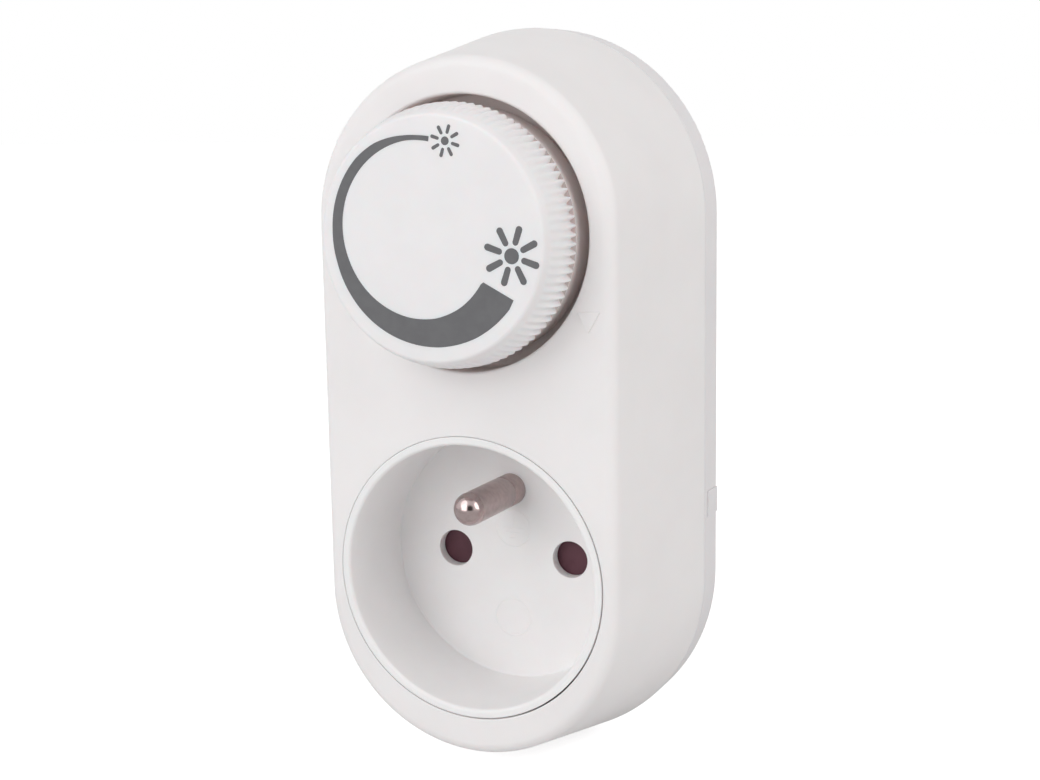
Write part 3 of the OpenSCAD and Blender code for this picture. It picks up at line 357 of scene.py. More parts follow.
# Resistors: lacquer with colour bands across their length
def bandedLacquer(s):
    material, tree, shader = startMaterial("resistorTan")
    along = rangeNode(tree, objectParts(tree)[1].outputs["X"], s["start"], s["end"])
    ramp = addNode(tree, "ShaderNodeValToRGB")
    ramp.color_ramp.interpolation = "CONSTANT"
    stops = ramp.color_ramp.elements
    stops[0].color = (*s["body"], 1)
    stops[1].position = s["lastStop"]
    stops[1].color = (*s["body"], 1)
    for place, colour in s["bands"]:
        stops.new(place).color = (*colour, 1)
        stops.new(place + s["bandWidth"]).color = (*s["body"], 1)
    tree.links.new(along, ramp.inputs["Fac"])
    tree.links.new(ramp.outputs["Color"], shader.inputs["Base Color"])
    skin = noiseOn(tree, s["skin"])
    roughen(tree, shader, skin.outputs["Fac"], s["rough"])
    addBump(tree, shader, skin.outputs["Fac"], s["relief"], bumpHeight["grain"])
    return material


# Fuse: clear glass with a slight tint and drawn streaks
fuseLook = {"drawn": 0.8, "stretch": (0.3, 2, 2), "tint": (0.82, 0.9, 0.88), "clear": (0.88, 0.94, 0.93),
            "rough": (0.03, 0.08), "relief": 0.05, "through": 0.85, "index": 1.5}


def fuseGlass(s):
    material, tree, shader = startMaterial("fuseGlass")
    drawn = noiseOn(tree, s["drawn"], detail=2.0, stretch=s["stretch"])
    paint(tree, shader, drawn.outputs["Fac"], s["tint"], s["clear"])
    roughen(tree, shader, drawn.outputs["Fac"], s["rough"])
    addBump(tree, shader, drawn.outputs["Fac"], s["relief"], bumpHeight["grain"])
    setInputs(shader, {"Transmission Weight": s["through"], "IOR": s["index"]})
    return material


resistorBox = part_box("resistors")
resistorLook = {"start": resistorBox[0].x, "end": resistorBox[1].x, "body": srgb(206, 182, 140),
                "skin": 0.5, "rough": (0.3, 0.42), "relief": 0.1, "bandWidth": 0.08, "lastStop": 0.99,
                "bands": ((0.2, srgb(120, 40, 30)), (0.38, srgb(40, 30, 26)), (0.56, srgb(190, 120, 30)),
                          (0.76, srgb(150, 120, 50)))}
finish["windingCopper"] = windingCopper(windingLook)
finish["boardGreen"] = boardGreen(boardLook)
finish["resistorTan"] = bandedLacquer(resistorLook)
finish["fuseGlass"] = fuseGlass(fuseLook)

nodeFinish = {
    "front_shell": "shellWhite", "rear_cover": "coverWhite", "socket_insert": "insertWhite",
    "earth_pin": "earthNickel", "shutter": "shutterMaroon", "shutter_spring": "springSteel",
    "contact_carrier": "carrierIvory", "carrier_screws": "screwSteel", "insert_screws": "screwSteel",
    "live_contact": "contactBrass", "neutral_contact": "contactBrass", "live_pin": "pinNickel",
    "neutral_pin": "pinNickel", "earth_tube": "contactBrass", "earth_bracket": "contactBrass",
    "dimmer_knob": "knobWhite", "pot_shaft": "shaftMetal", "pot_wiper": "contactBrass",
    "pot_housing": "potBlack", "pot_wafer": "waferBrown", "circuit_board": "boardGreen",
    "board_screws": "screwSteel", "triac": "triacBlack", "heat_sink": "sinkAluminium",
    "triac_screw": "screwSteel", "choke_core": "coreIron", "choke_winding": "windingCopper",
    "film_capacitor": "capacitorRed", "resistors": "resistorTan", "fuse": "fuseGlass",
    "fuse_clips": "contactBrass", "line_wire": "wireBrown", "load_wire": "wireBlack",
    "case_screws": "screwSteel",
}
for node, name in nodeFinish.items():
    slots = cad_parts[node].data.materials
    slots.clear()
    slots.append(finish[name])
print("finishes:", len(finish))


# Mesh helpers: rings are lists of corners, joined ring to ring
def ringAt(bm, x, z, radius, depth, count):
    turns = (2 * math.pi * i / count for i in range(count))
    return [bm.verts.new(at(x + radius * math.cos(a), depth, z + radius * math.sin(a))) for a in turns]


def joinRings(bm, first, second):
    count = len(first)
    for i in range(count):
        j = (i + 1) % count
        bm.faces.new((first[i], first[j], second[j], second[i]))


def turnedWall(bm, x, z, profile, count):
    rings = [ringAt(bm, x, z, radius, depth, count) for radius, depth in profile]
    for first, second in zip(rings, rings[1:]):
        joinRings(bm, first, second)
    return rings


def fillFlat(bm, *loops):
    edges = []
    for loop in loops:
        for i, corner in enumerate(loop):
            after = loop[(i + 1) % len(loop)]
            edges.append(bm.edges.get((corner, after)) or bm.edges.new((corner, after)))
    bmesh.ops.triangle_fill(bm, use_beauty=True, use_dissolve=False, edges=edges)


def fanTo(bm, ring, point):
    tip = bm.verts.new(point)
    for i, corner in enumerate(ring):
        bm.faces.new((corner, ring[(i + 1) % len(ring)], tip))


def arc(centre, radius, start, end, steps):
    angles = (math.radians(start + (end - start) * i / steps) for i in range(steps + 1))
    return [(centre[0] + radius * math.cos(a), centre[1] + radius * math.sin(a)) for a in angles]


# A closed flat plate from an outline of x and z, between two depths
def addPlate(bm, outline, front, rear):
    top, bottom = ([bm.verts.new(at(x, depth, z)) for x, z in outline] for depth in (front, rear))
    joinRings(bm, top, bottom)
    fillFlat(bm, top)
    fillFlat(bm, bottom)


def smoothMesh(mesh, sharpAngle):
    for face in mesh.polygons:
        face.use_smooth = True
    mesh.set_sharp_from_angle(angle=math.radians(sharpAngle))
    return mesh


def meshFrom(bm, name, sharpAngle):
    bmesh.ops.recalc_face_normals(bm, faces=bm.faces)
    mesh = bpy.data.meshes.new(name)
    bm.to_mesh(mesh)
    bm.free()
    return smoothMesh(mesh, sharpAngle)


def addPiece(name, mesh, material, body, slot, *nodes):
    piece = bpy.data.objects.new(name, mesh)
    bpy.context.scene.collection.objects.link(piece)
    if material:
        mesh.materials.clear()
        mesh.materials.append(finish[material])
    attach(piece, body)
    if nodes:
        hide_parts(*nodes)


# Geometry Nodes helpers
def startTree(name, **inputs):
    tree = bpy.data.node_groups.new(name, "GeometryNodeTree")
    tree.interface.new_socket("Geometry", in_out="INPUT", socket_type="NodeSocketGeometry")
    for label, kind in inputs.items():
        tree.interface.new_socket(label, in_out="INPUT", socket_type="NodeSocket" + kind)
    tree.interface.new_socket("Geometry", in_out="OUTPUT", socket_type="NodeSocketGeometry")
    return tree, tree.nodes.new("NodeGroupInput"), tree.nodes.new("NodeGroupOutput")


def endTree(tree, geometry, source, output):
    realize = addNode(tree, "GeometryNodeRealizeInstances")
    dress = addNode(tree, "GeometryNodeSetMaterial")
    tree.links.new(geometry, realize.inputs["Geometry"])
    tree.links.new(realize.outputs["Geometry"], dress.inputs["Geometry"])
    tree.links.new(source.outputs["finish"], dress.inputs["Material"])
    tree.links.new(dress.outputs["Geometry"], output.inputs["Geometry"])


# Sets a turned copy of the incoming mesh at each point
def endWithCopies(tree, points, spin, source, output):
    spread = addNode(tree, "GeometryNodeInstanceOnPoints")
    tree.links.new(points.outputs[0], spread.inputs["Points"])
    tree.links.new(source.outputs["Geometry"], spread.inputs["Instance"])
    tree.links.new(spin.outputs[0], spread.inputs["Rotation"])
    endTree(tree, spread.outputs["Instances"], source, output)
    return tree


def runTree(mesh, tree, values, name):
    holder = bpy.data.objects.new(name + "Source", mesh)
    bpy.context.scene.collection.objects.link(holder)
    modifier = holder.modifiers.new(tree.name, "NODES")
    modifier.node_group = tree
    for item in tree.interface.items_tree:
        if item.in_out == "INPUT" and item.name in values:
            modifier[item.identifier] = values[item.name]
    graph = bpy.context.evaluated_depsgraph_get()
    made = bpy.data.meshes.new_from_object(holder.evaluated_get(graph), depsgraph=graph)
    made.name = name
    holder.modifiers.remove(modifier)
    bpy.data.objects.remove(holder)
    return made


# Front shell: drafted body, knob recess, socket opening and the raised index mark
shell = {"flatHalf": 21.27, "frontRound": 1.8, "draft": 11.0, "seamDepth": 24.1, "seamRound": 0.15,
         "wall": 2.2, "upperZ": 50.6, "lowerZ": -3.2, "endSteps": 72, "sideSteps": 24,
         "sideRows": (0.02, 0.2, 0.4, 0.6, 0.8, 0.985), "innerRows": (16.0, 9.0), "land": 0.06, "sharp": 30,
         "knobZ": 49.1, "recessR": 19.2, "recessLip": 0.4, "recessDepth": 6.0, "recessCove": 0.4,
         "recessRows": (0.8, 3.0), "coveLand": 0.2, "floorRow": 10.0, "recessSteps": 144,
         "cupR": 20.8, "cupRear": 8.0, "shaftHoleR": 3.8, "socketR": 20.77, "socketShift": (0.065, -0.065),
         "socketLip": 0.15, "socketRow": 0.6, "socketSteps": 160}
indexMark = {"reach": 20.15, "side": 3.3, "angle": -30.0, "rise": 0.25, "edge": 0.12, "softShare": 0.35}


def sideHalf(s, depth):
    slope = math.radians(s["draft"])
    return (s["flatHalf"] + s["frontRound"] * math.cos(slope)
            + (depth - s["frontRound"] + s["frontRound"] * math.sin(slope)) * math.tan(slope))


def obroundAt(bm, s, half, depth):
    points = []
    for i in range(s["endSteps"] + 1):
        a = math.pi * i / s["endSteps"]
        points.append((half * math.cos(a), s["upperZ"] + half * math.sin(a)))
    drop = s["upperZ"] - s["lowerZ"]
    points += [(-half, s["upperZ"] - drop * i / s["sideSteps"]) for i in range(1, s["sideSteps"])]
    for i in range(s["endSteps"] + 1):
        a = math.pi + math.pi * i / s["endSteps"]
        points.append((half * math.cos(a), s["lowerZ"] + half * math.sin(a)))
    points += [(half, s["lowerZ"] + drop * i / s["sideSteps"]) for i in range(1, s["sideSteps"])]
    return [bm.verts.new(at(x, depth, z)) for x, z in points]


def shellProfile(s):
    draft = math.radians(s["draft"])
    r, tip = s["frontRound"], s["seamRound"]
    profile = [(s["flatHalf"] - s["land"], 0.0)]
    profile += arc((s["flatHalf"], r), r, -90, -s["draft"], steps=14)
    tangent = profile[-1]
    corner = (sideHalf(s, s["seamDepth"]), s["seamDepth"])
    back = tip * math.tan(math.radians(90 + s["draft"]) / 2)
    last = (corner[0] - back * math.sin(draft), corner[1] - back * math.cos(draft))
    profile += [(tangent[0] + (last[0] - tangent[0]) * t, tangent[1] + (last[1] - tangent[1]) * t)
                for t in s["sideRows"]]
    centre = (last[0] - tip * math.cos(draft), last[1] + tip * math.sin(draft))
    profile += arc(centre, tip, -s["draft"], 90, steps=6)
    inset = s["wall"] / math.cos(draft)
    profile += [(corner[0] - inset, s["seamDepth"])]
    profile += [(sideHalf(s, d) - inset, d) for d in (*s["innerRows"], s["wall"])]
    return profile


def addIndexMark(bm, m, knobZ):
    turn = math.radians(m["angle"])
    height = m["side"] * math.cos(math.radians(30))

    def corners(shrink, depth):
        inner = m["reach"] + 2 * shrink
        outer = m["reach"] + height - shrink
        half = m["side"] / 2 - shrink * math.sqrt(3)
        flat = ((inner, 0), (outer, half), (outer, -half))
        return [bm.verts.new(at(u * math.cos(turn) - v * math.sin(turn), depth,
                                knobZ + u * math.sin(turn) + v * math.cos(turn))) for u, v in flat]

    soft = m["softShare"] * m["edge"]
    loops = [corners(0, 0.0), corners(0, m["edge"] - m["rise"]), corners(soft, soft - m["rise"]),
             corners(m["edge"], -m["rise"])]
    for first, second in zip(loops, loops[1:]):
        joinRings(bm, first, second)
    bm.faces.new(loops[-1])
    return loops[0]


def makeFrontShell(s, mark):
    bm = bmesh.new()
    loops = [obroundAt(bm, s, half, depth) for half, depth in shellProfile(s)]
    for first, second in zip(loops, loops[1:]):
        joinRings(bm, first, second)
    lip, cove, land = s["recessLip"], s["recessCove"], s["coveLand"]
    recess = [(s["recessR"] + lip + s["land"], 0.0)]
    recess += arc((s["recessR"] + lip, lip), lip, -90, -180, steps=8)
    recess += [(s["recessR"], d) for d in (*s["recessRows"], s["recessDepth"] - cove - land)]
    recess += arc((s["recessR"] - cove, s["recessDepth"] - cove), cove, 0, 90, steps=6)
    recess += [(s["recessR"] - cove - land, s["recessDepth"]), (s["floorRow"], s["recessDepth"]),
               (s["shaftHoleR"], s["recessDepth"]), (s["shaftHoleR"], s["cupRear"]),
               (s["cupR"], s["cupRear"]), (s["cupR"], s["wall"])]
    cup = turnedWall(bm, 0, s["knobZ"], recess, s["recessSteps"])
    edge = s["socketLip"]
    mouth = [(s["socketR"] + edge + s["land"], 0.0)]
    mouth += arc((s["socketR"] + edge, edge), edge, -90, -180, steps=5)
    mouth += [(s["socketR"], s["socketRow"]), (s["socketR"], s["wall"])]
    opening = turnedWall(bm, *s["socketShift"], mouth, s["socketSteps"])
    fillFlat(bm, loops[0], cup[0], opening[0], addIndexMark(bm, mark, s["knobZ"]))
    fillFlat(bm, loops[-1], cup[-1], opening[-1])
    return meshFrom(bm, "frontShell", s["sharp"])


addPiece("frontShell", makeFrontShell(shell, indexMark), "shellWhite", "case", "shell_white", "front_shell")
print("front shell made")


# Socket insert: the well with its rounded mouth, the floor with its holes and the moulded signs
socket = {"rimR": 20.65, "rimEdge": 0.15, "wellR": 19.4, "floorR": 19.2, "mouthRound": 0.5, "depth": 15.0,
          "cove": 0.25, "floorRear": 16.7, "rear": 21.0, "holeX": 9.5, "holeR": 2.78, "holeEdge": 0.12,
          "holeLand": 0.04, "earthZ": 10.0, "earthR": 2.05, "earthEdge": 0.05, "pivotR": 1.6, "pivotEdge": 0.1,
          "lugZ": 23.75, "lugR": 2.2, "lugHoleR": 1.03, "lugFront": 18.5, "floorLand": 0.08, "rimLand": 0.06,
          "wallRows": (0.03, 0.3, 0.6, 0.97), "rimRows": (0.6, 10.0), "steps": 176, "holeSteps": 64,
          "postSteps": 40, "weld": 1e-7, "sharp": 20}
sign = {"earthAt": (0.23, 4.0), "earthR": 2.8, "bareAt": (0.0, -9.9), "bareR": 2.9, "line": 0.26, "rise": 0.045,
        "crest": 0.2, "steps": 64, "stem": 1.9, "bars": ((1.7, 0.0), (1.15, -0.7), (0.6, -1.4))}


def addRaisedRing(bm, centre, radius, m, front, base):
    half, top = m["line"] / 2, m["line"] * m["crest"]
    profile = [(radius + half, base), (radius + top, front), (radius - top, front), (radius - half, base)]
    rings = turnedWall(bm, *centre, profile, m["steps"])
    return rings[0], rings[-1]


# A raised shape with square corners, listed anticlockwise, and its sloped edge
def addRaisedShape(bm, points, edge, front, base):
    count = len(points)
    inner = []
    for i, (x, z) in enumerate(points):
        before, after = points[i - 1], points[(i + 1) % count]
        steps = ((x - before[0], z - before[1]), (after[0] - x, after[1] - z))
        for stepX, stepZ in steps:
            size = math.hypot(stepX, stepZ)
            x, z = x - edge * stepZ / size, z + edge * stepX / size
        inner.append((x, z))
    low = [bm.verts.new(at(x, base, z)) for x, z in points]
    high = [bm.verts.new(at(x, front, z)) for x, z in inner]
    joinRings(bm, low, high)
    fillFlat(bm, high)
    return low


# Signs on the floor: an earth sign in a ring and a bare ring, each joined to the floor
def addSigns(bm, m, base):
    front, half, edge = base - m["rise"], m["line"] / 2, m["line"] * (0.5 - m["crest"])
    outer, inner = addRaisedRing(bm, m["earthAt"], m["earthR"], m, front, base)
    bareOuter, bareInner = addRaisedRing(bm, m["bareAt"], m["bareR"], m, front, base)
    (x, z), wide = m["earthAt"], m["bars"][0][0]
    tee = [(x - wide, z - half), (x + wide, z - half), (x + wide, z + half), (x + half, z + half),
           (x + half, z + m["stem"]), (x - half, z + m["stem"]), (x - half, z + half), (x - wide, z + half)]
    shapes = [addRaisedShape(bm, tee, edge, front, base)]
    for reach, level in m["bars"][1:]:
        low, high = z + level - half, z + level + half
        bar = [(x - reach, low), (x + reach, low), (x + reach, high), (x - reach, high)]
        shapes.append(addRaisedShape(bm, bar, edge, front, base))
    fillFlat(bm, inner, *shapes)
    fillFlat(bm, bareInner)
    return [outer, bareOuter]


def makeSocketInsert(s, m):
    bm = bmesh.new()
    cove, mouth, edge = s["cove"], s["mouthRound"], s["rimEdge"]
    profile = [(s["floorR"] - cove - s["floorLand"], s["depth"])]
    profile += arc((s["floorR"] - cove, s["depth"] - cove), cove, 90, 0, steps=7)
    taper, wallEnd = s["wellR"] - s["floorR"], s["depth"] - cove
    profile += [(s["floorR"] + taper * t, wallEnd - (wallEnd - mouth) * t) for t in s["wallRows"]]
    profile += arc((s["wellR"] + mouth, mouth), mouth, 180, 270, steps=8)
    profile += [(s["wellR"] + mouth + s["rimLand"], 0.0), (s["rimR"] - edge - s["rimLand"], 0.0)]
    profile += arc((s["rimR"] - edge, edge), edge, -90, 0, steps=5)
    profile += [(s["rimR"], d) for d in (*s["rimRows"], s["rear"])]
    profile += [(s["floorR"], s["rear"]), (s["floorR"], s["floorRear"])]
    wall = turnedWall(bm, 0, 0, profile, s["steps"])
    fronts, rears = [wall[0]], [wall[-1]]
    for x, z, radius, rounding in ((s["holeX"], 0, s["holeR"], s["holeEdge"]),
                                   (-s["holeX"], 0, s["holeR"], s["holeEdge"]),
                                   (0, s["earthZ"], s["earthR"], s["earthEdge"])):
        hole = [(radius + rounding + s["holeLand"], s["depth"])]
        hole += arc((radius + rounding, s["depth"] + rounding), rounding, -90, -180, steps=5)
        hole += [(radius, s["floorRear"])]
        rings = turnedWall(bm, x, z, hole, s["holeSteps"])
        fronts.append(rings[0])
        rears.append(rings[-1])
    profile = [(s["pivotR"], s["floorRear"]), (s["pivotR"], s["rear"] - s["pivotEdge"]),
               (s["pivotR"] - s["pivotEdge"], s["rear"])]
    post = turnedWall(bm, 0, 0, profile, s["postSteps"])
    fanTo(bm, post[-1], at(0, s["rear"], 0))
    rears.append(post[0])
    fillFlat(bm, *fronts, *addSigns(bm, m, s["depth"]))
    fillFlat(bm, *rears)
    profile = [(s["lugR"], s["lugFront"]), (s["lugR"], s["rear"]), (s["lugHoleR"], s["rear"]),
               (s["lugHoleR"], s["lugFront"]), (s["lugR"], s["lugFront"])]
    for side in (-1, 1):
        lug = turnedWall(bm, 0, side * s["lugZ"], profile, s["postSteps"])
        bmesh.ops.remove_doubles(bm, verts=lug[0] + lug[-1], dist=s["weld"])
    return meshFrom(bm, "socketInsert", s["sharp"])


addPiece("socketInsert", makeSocketInsert(socket, sign), "insertWhite", "case", "insert_white", "socket_insert")
print("socket insert made")


# Earth pin: domed tip, faint ring at its collar, riveted tail
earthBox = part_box("earth_pin")
earthPin = {"z": 10.0, "r": 2.4, "tip": earthBox[0].y / mm + plugFace, "domeStart": -88, "rows": (0.3, 4),
            "foot": 15.0, "groove": 11.9, "grooveDepth": 0.18, "grooveRows": ((0.35, 0), (0.25, 0.2), (0.12, 1)),
            "shank": 2.0, "shankRear": 24.3, "tail": 1.5, "tailEnd": earthBox[1].y / mm + plugFace,
            "tailEdge": 0.2, "steps": 72, "sharp": 40}


def makeEarthPin(s):
    bm = bmesh.new()
    r, dome = s["r"], s["tip"] + s["r"]
    profile = arc((0, dome), r, s["domeStart"], 0, steps=20)
    profile += [(r, dome + d) for d in s["rows"]]
    middle, cut = s["groove"], s["grooveDepth"]
    profile += [(r - cut * share, middle - away) for away, share in s["grooveRows"]]
    profile += [(r - cut * share, middle + away) for away, share in reversed(s["grooveRows"])]
    profile += [(r, s["foot"]), (s["shank"], s["foot"]), (s["shank"], s["shankRear"]),
                (s["tail"], s["shankRear"]), (s["tail"], s["tailEnd"] - s["tailEdge"]),
                (s["tail"] - s["tailEdge"], s["tailEnd"])]
    rings = turnedWall(bm, 0, s["z"], profile, s["steps"])
    fanTo(bm, rings[0], at(0, s["tip"], s["z"]))
    fanTo(bm, rings[-1], at(0, s["tailEnd"], s["z"]))
    return meshFrom(bm, "earthPin", s["sharp"])


addPiece("earthPin", makeEarthPin(earthPin), "earthNickel", "case", "nickel", "earth_pin")
print("earth pin made")


# Knob: a turned body whose ribs are cut by Geometry Nodes
knob = {"z": 49.1, "r": 18.2, "face": -8.97, "round": 0.6, "crownDrop": 1.34, "crownEnd": -1.5,
        "crownSpan": 6.9, "crownPower": 2.5, "endRound": 1.1, "endTurn": 52.0, "ribFront": -7.95, "ribEnd": -1.9,
        "ribs": 92, "ribTurn": 0.33, "ribDepth": 1.1, "frontShare": 0.1, "ribPower": 1.9, "startSpan": 0.06,
        "endShare": 0.12, "columns": 12, "reliefR": 16.6, "reliefW": 0.6, "skirtR": 17.6, "skirtEdge": 0.4,
        "sink": 4.5, "inner": 15.5, "roof": -7.0, "hubR": 4.6, "hubEnd": 5.2, "boreR": 3.03, "boreTop": -5.4,
        "ribRows": (0, 0.02, 0.04, 0.07, 0.14, 0.24, 0.36, 0.48, 0.6, 0.7, 0.8, 0.88, 0.94),
        "faceLand": 0.1, "ribLand": 0.15, "bevel": 0.05, "skirtLand": 0.4, "skirtRow": 1.0, "sinkLand": 0.5,
        "sharp": 50}


def knobHalf(s, depth):
    ahead = max(s["crownEnd"] - depth, 0) / s["crownSpan"]
    return s["r"] - s["crownDrop"] * ahead ** s["crownPower"]


# Cuts soft grooves round the side, which deepen towards the rear
def ribTree():
    tree, source, output = startTree("knobRibs", ribCount="Int", ribDepth="Float", ribTurn="Float",
                                     axisHeight="Float", finish="Material")
    spot = addNode(tree, "GeometryNodeInputPosition")
    parts = addNode(tree, "ShaderNodeSeparateXYZ")
    tree.links.new(spot.outputs[0], parts.inputs[0])
    lift = mathNode(tree, "SUBTRACT", parts.outputs["Z"], source.outputs["axisHeight"])
    angle = mathNode(tree, "ARCTAN2", lift, parts.outputs["X"])
    turns = mathNode(tree, "MULTIPLY", mathNode(tree, "DIVIDE", angle, 2 * math.pi), source.outputs["ribCount"])
    shifted = mathNode(tree, "SUBTRACT", turns, source.outputs["ribTurn"])
    phase = mathNode(tree, "FRACT", mathNode(tree, "ADD", shifted, 1000))  # kept above zero
    wave = mathNode(tree, "COSINE", mathNode(tree, "MULTIPLY", phase, 2 * math.pi))
    valley = mathNode(tree, "MULTIPLY", mathNode(tree, "SUBTRACT", 1, wave), 0.5)
    fade = addNode(tree, "GeometryNodeInputNamedAttribute", data_type="FLOAT")
    fade.inputs["Name"].default_value = "ribFade"
    depth = mathNode(tree, "MULTIPLY", fade.outputs["Attribute"], source.outputs["ribDepth"])
    cut = mathNode(tree, "MULTIPLY", depth, valley)
    along = addNode(tree, "ShaderNodeCombineXYZ")
    tree.links.new(parts.outputs["X"], along.inputs["X"])
    tree.links.new(lift, along.inputs["Z"])
    outward = addNode(tree, "ShaderNodeVectorMath", operation="NORMALIZE")
    tree.links.new(along.outputs[0], outward.inputs[0])
    move = addNode(tree, "ShaderNodeVectorMath", operation="SCALE")
    tree.links.new(outward.outputs["Vector"], move.inputs[0])
    tree.links.new(mathNode(tree, "MULTIPLY", cut, -1), move.inputs["Scale"])
    place = addNode(tree, "GeometryNodeSetPosition")
    tree.links.new(source.outputs["Geometry"], place.inputs["Geometry"])
    tree.links.new(move.outputs["Vector"], place.inputs["Offset"])
    endTree(tree, place.outputs["Geometry"], source, output)
    return tree


def makeKnob(s):
    bm = bmesh.new()
    fade = bm.verts.layers.float.new("ribFade")
    edge, end, rounding = s["face"] + s["round"], s["ribEnd"], s["round"]
    bevel = s["bevel"]
    slant = math.atan((knobHalf(s, edge + bevel) - knobHalf(s, edge - bevel)) / (2 * bevel))
    tangent = edge - rounding * math.sin(slant)
    flat = knobHalf(s, tangent) - rounding * math.cos(slant)
    profile = [(flat - s["faceLand"], s["face"])]
    profile += arc((flat, edge), rounding, -90, -math.degrees(slant), steps=8)
    profile += [(knobHalf(s, d), d) for d in (tangent + s["ribLand"], s["ribFront"] - s["ribLand"])]
    ribStart, span = len(profile), end - s["ribFront"]
    profile += [(knobHalf(s, s["ribFront"] + span * t), s["ribFront"] + span * t) for t in s["ribRows"]]
    profile += arc((s["r"] - s["endRound"], end), s["endRound"], 0, s["endTurn"], steps=8)
    ribbed, ribRear = range(ribStart, len(profile)), profile[-1][1]
    relief = ribRear + s["reliefW"]
    profile += [(s["reliefR"], ribRear + bevel), (s["reliefR"], relief), (s["skirtR"], relief + bevel)]
    profile += [(s["skirtR"], d) for d in (relief + s["skirtLand"], s["skirtRow"], s["sink"] - s["sinkLand"])]
    lip = s["skirtEdge"]
    profile += arc((s["skirtR"] - lip, s["sink"] - lip), lip, 0, 90, steps=4)
    profile += [(s["inner"], s["sink"]), (s["inner"], s["roof"]), (s["hubR"], s["roof"]),
                (s["hubR"], s["hubEnd"]), (s["boreR"], s["hubEnd"]), (s["boreR"], s["boreTop"])]
    rings = turnedWall(bm, 0, s["z"], profile, s["ribs"] * s["columns"])
    for i in ribbed:
        t = (profile[i][1] - s["ribFront"]) / (ribRear - s["ribFront"])
        start = min(t / s["startSpan"], 1)
        beyond = max(s["r"] - profile[i][0], 0) if profile[i][1] > end else 0
        share = s["frontShare"] + (1 - s["frontShare"]) * t ** s["ribPower"]
        for corner in rings[i]:
            corner[fade] = max(start * share - beyond / s["ribDepth"], s["endShare"] if beyond else 0)
    fanTo(bm, rings[0], at(0, s["face"], s["z"]))
    fanTo(bm, rings[-1], at(0, s["boreTop"], s["z"]))
    blank = meshFrom(bm, "knobBlank", 180)
    values = {"ribCount": s["ribs"], "ribDepth": s["ribDepth"] * mm, "ribTurn": s["ribTurn"],
              "axisHeight": s["z"] * mm, "finish": finish["knobWhite"]}
    return smoothMesh(runTree(blank, ribTree(), values, "dimmerKnob"), s["sharp"])


addPiece("dimmerKnob", makeKnob(knob), None, "knob", "knob_white", "dimmer_knob")
print("knob made")


# Print on the knob: the swelling arc and two sun signs
swell = {"centre": (-1.47, 1.27), "steps": 120,
         "edges": ((82, 11.8, 12.48), (90, 11.88, 12.52), (100, 11.98, 12.7), (120, 11.99, 13.26),
                   (135, 12.0, 13.44), (160, 11.96, 13.44), (180, 11.88, 13.46), (200, 11.8, 13.68),
                   (220, 11.82, 14.16), (240, 11.86, 14.74), (260, 11.96, 15.32), (280, 12.0, 15.92),
                   (300, 11.8, 16.38), (312, 11.58, 16.52), (322, 11.38, 16.6)),  # angle, inner and outer radius
         "tipIn": (7.88, -5.48), "tipOut": (12.23, -7.73), "front": -8.995, "rear": -8.95, "sharp": 30}
smallSun = {"centre": (2.65, 13.01), "dot": 0.57, "inner": 0.95, "outer": 2.22, "width": 0.48}
bigSun = {"centre": (12.05, -1.95), "dot": 1.05, "inner": 1.47, "outer": 4.12, "width": 0.93}
sunRays = {"count": 8, "start": 72.0, "rootShare": 0.9, "endSteps": 10, "dotStep": 10}


def edgesAt(s, angle):
    for (a0, *low), (a1, *high) in zip(s["edges"], s["edges"][1:]):
        if angle <= a1:
            t = (angle - a0) / (a1 - a0)
            return [p + (q - p) * t for p, q in zip(low, high)]
    return s["edges"][-1][1:]


def swellOutline(s):
    inner, outer = [], []
    first, last = s["edges"][0][0], s["edges"][-1][0]
    for i in range(s["steps"] + 1):
        angle = first + (last - first) * i / s["steps"]
        a = math.radians(angle)
        for loop, radius in zip((inner, outer), edgesAt(s, angle)):
            loop.append((s["centre"][0] + radius * math.cos(a), s["centre"][1] + radius * math.sin(a)))
    return inner + [s["tipIn"], s["tipOut"]] + outer[::-1]


def rayTree():
    tree, source, output = startTree("sunRays", rayCount="Int", firstAngle="Float", centre="Vector",
                                     finish="Material")
    points = addNode(tree, "GeometryNodePoints")
    tree.links.new(source.outputs["rayCount"], points.inputs["Count"])
    tree.links.new(source.outputs["centre"], points.inputs["Position"])
    order = addNode(tree, "GeometryNodeInputIndex")
    step = mathNode(tree, "DIVIDE", 2 * math.pi, source.outputs["rayCount"])
    turn = mathNode(tree, "ADD", mathNode(tree, "MULTIPLY", order.outputs[0], step), source.outputs["firstAngle"])
    spin = addNode(tree, "ShaderNodeCombineXYZ")
    tree.links.new(mathNode(tree, "MULTIPLY", turn, -1), spin.inputs["Y"])
    return endWithCopies(tree, points, spin, source, output)


def makeRays(tree, s, rays, depths, sharp):
    bm = bmesh.new()
    half = s["width"] / 2
    rootHalf = half * rays["rootShare"]
    outline = arc((s["inner"] + rootHalf, 0), rootHalf, 90, 270, rays["endSteps"])
    outline += arc((s["outer"] - half, 0), half, -90, 90, rays["endSteps"])
    top, bottom = ([bm.verts.new(at(x, depth, z)) for x, z in outline] for depth in depths)
    joinRings(bm, top, bottom)
    bm.faces.new(top)
    bm.faces.new(bottom)
    ray = meshFrom(bm, "sunRay", sharp)
    values = {"rayCount": rays["count"], "firstAngle": math.radians(rays["start"]),
              "centre": (s["centre"][0] * mm, 0, (knob["z"] + s["centre"][1]) * mm), "finish": finish["printGrey"]}
    return runTree(ray, tree, values, "sunSign")


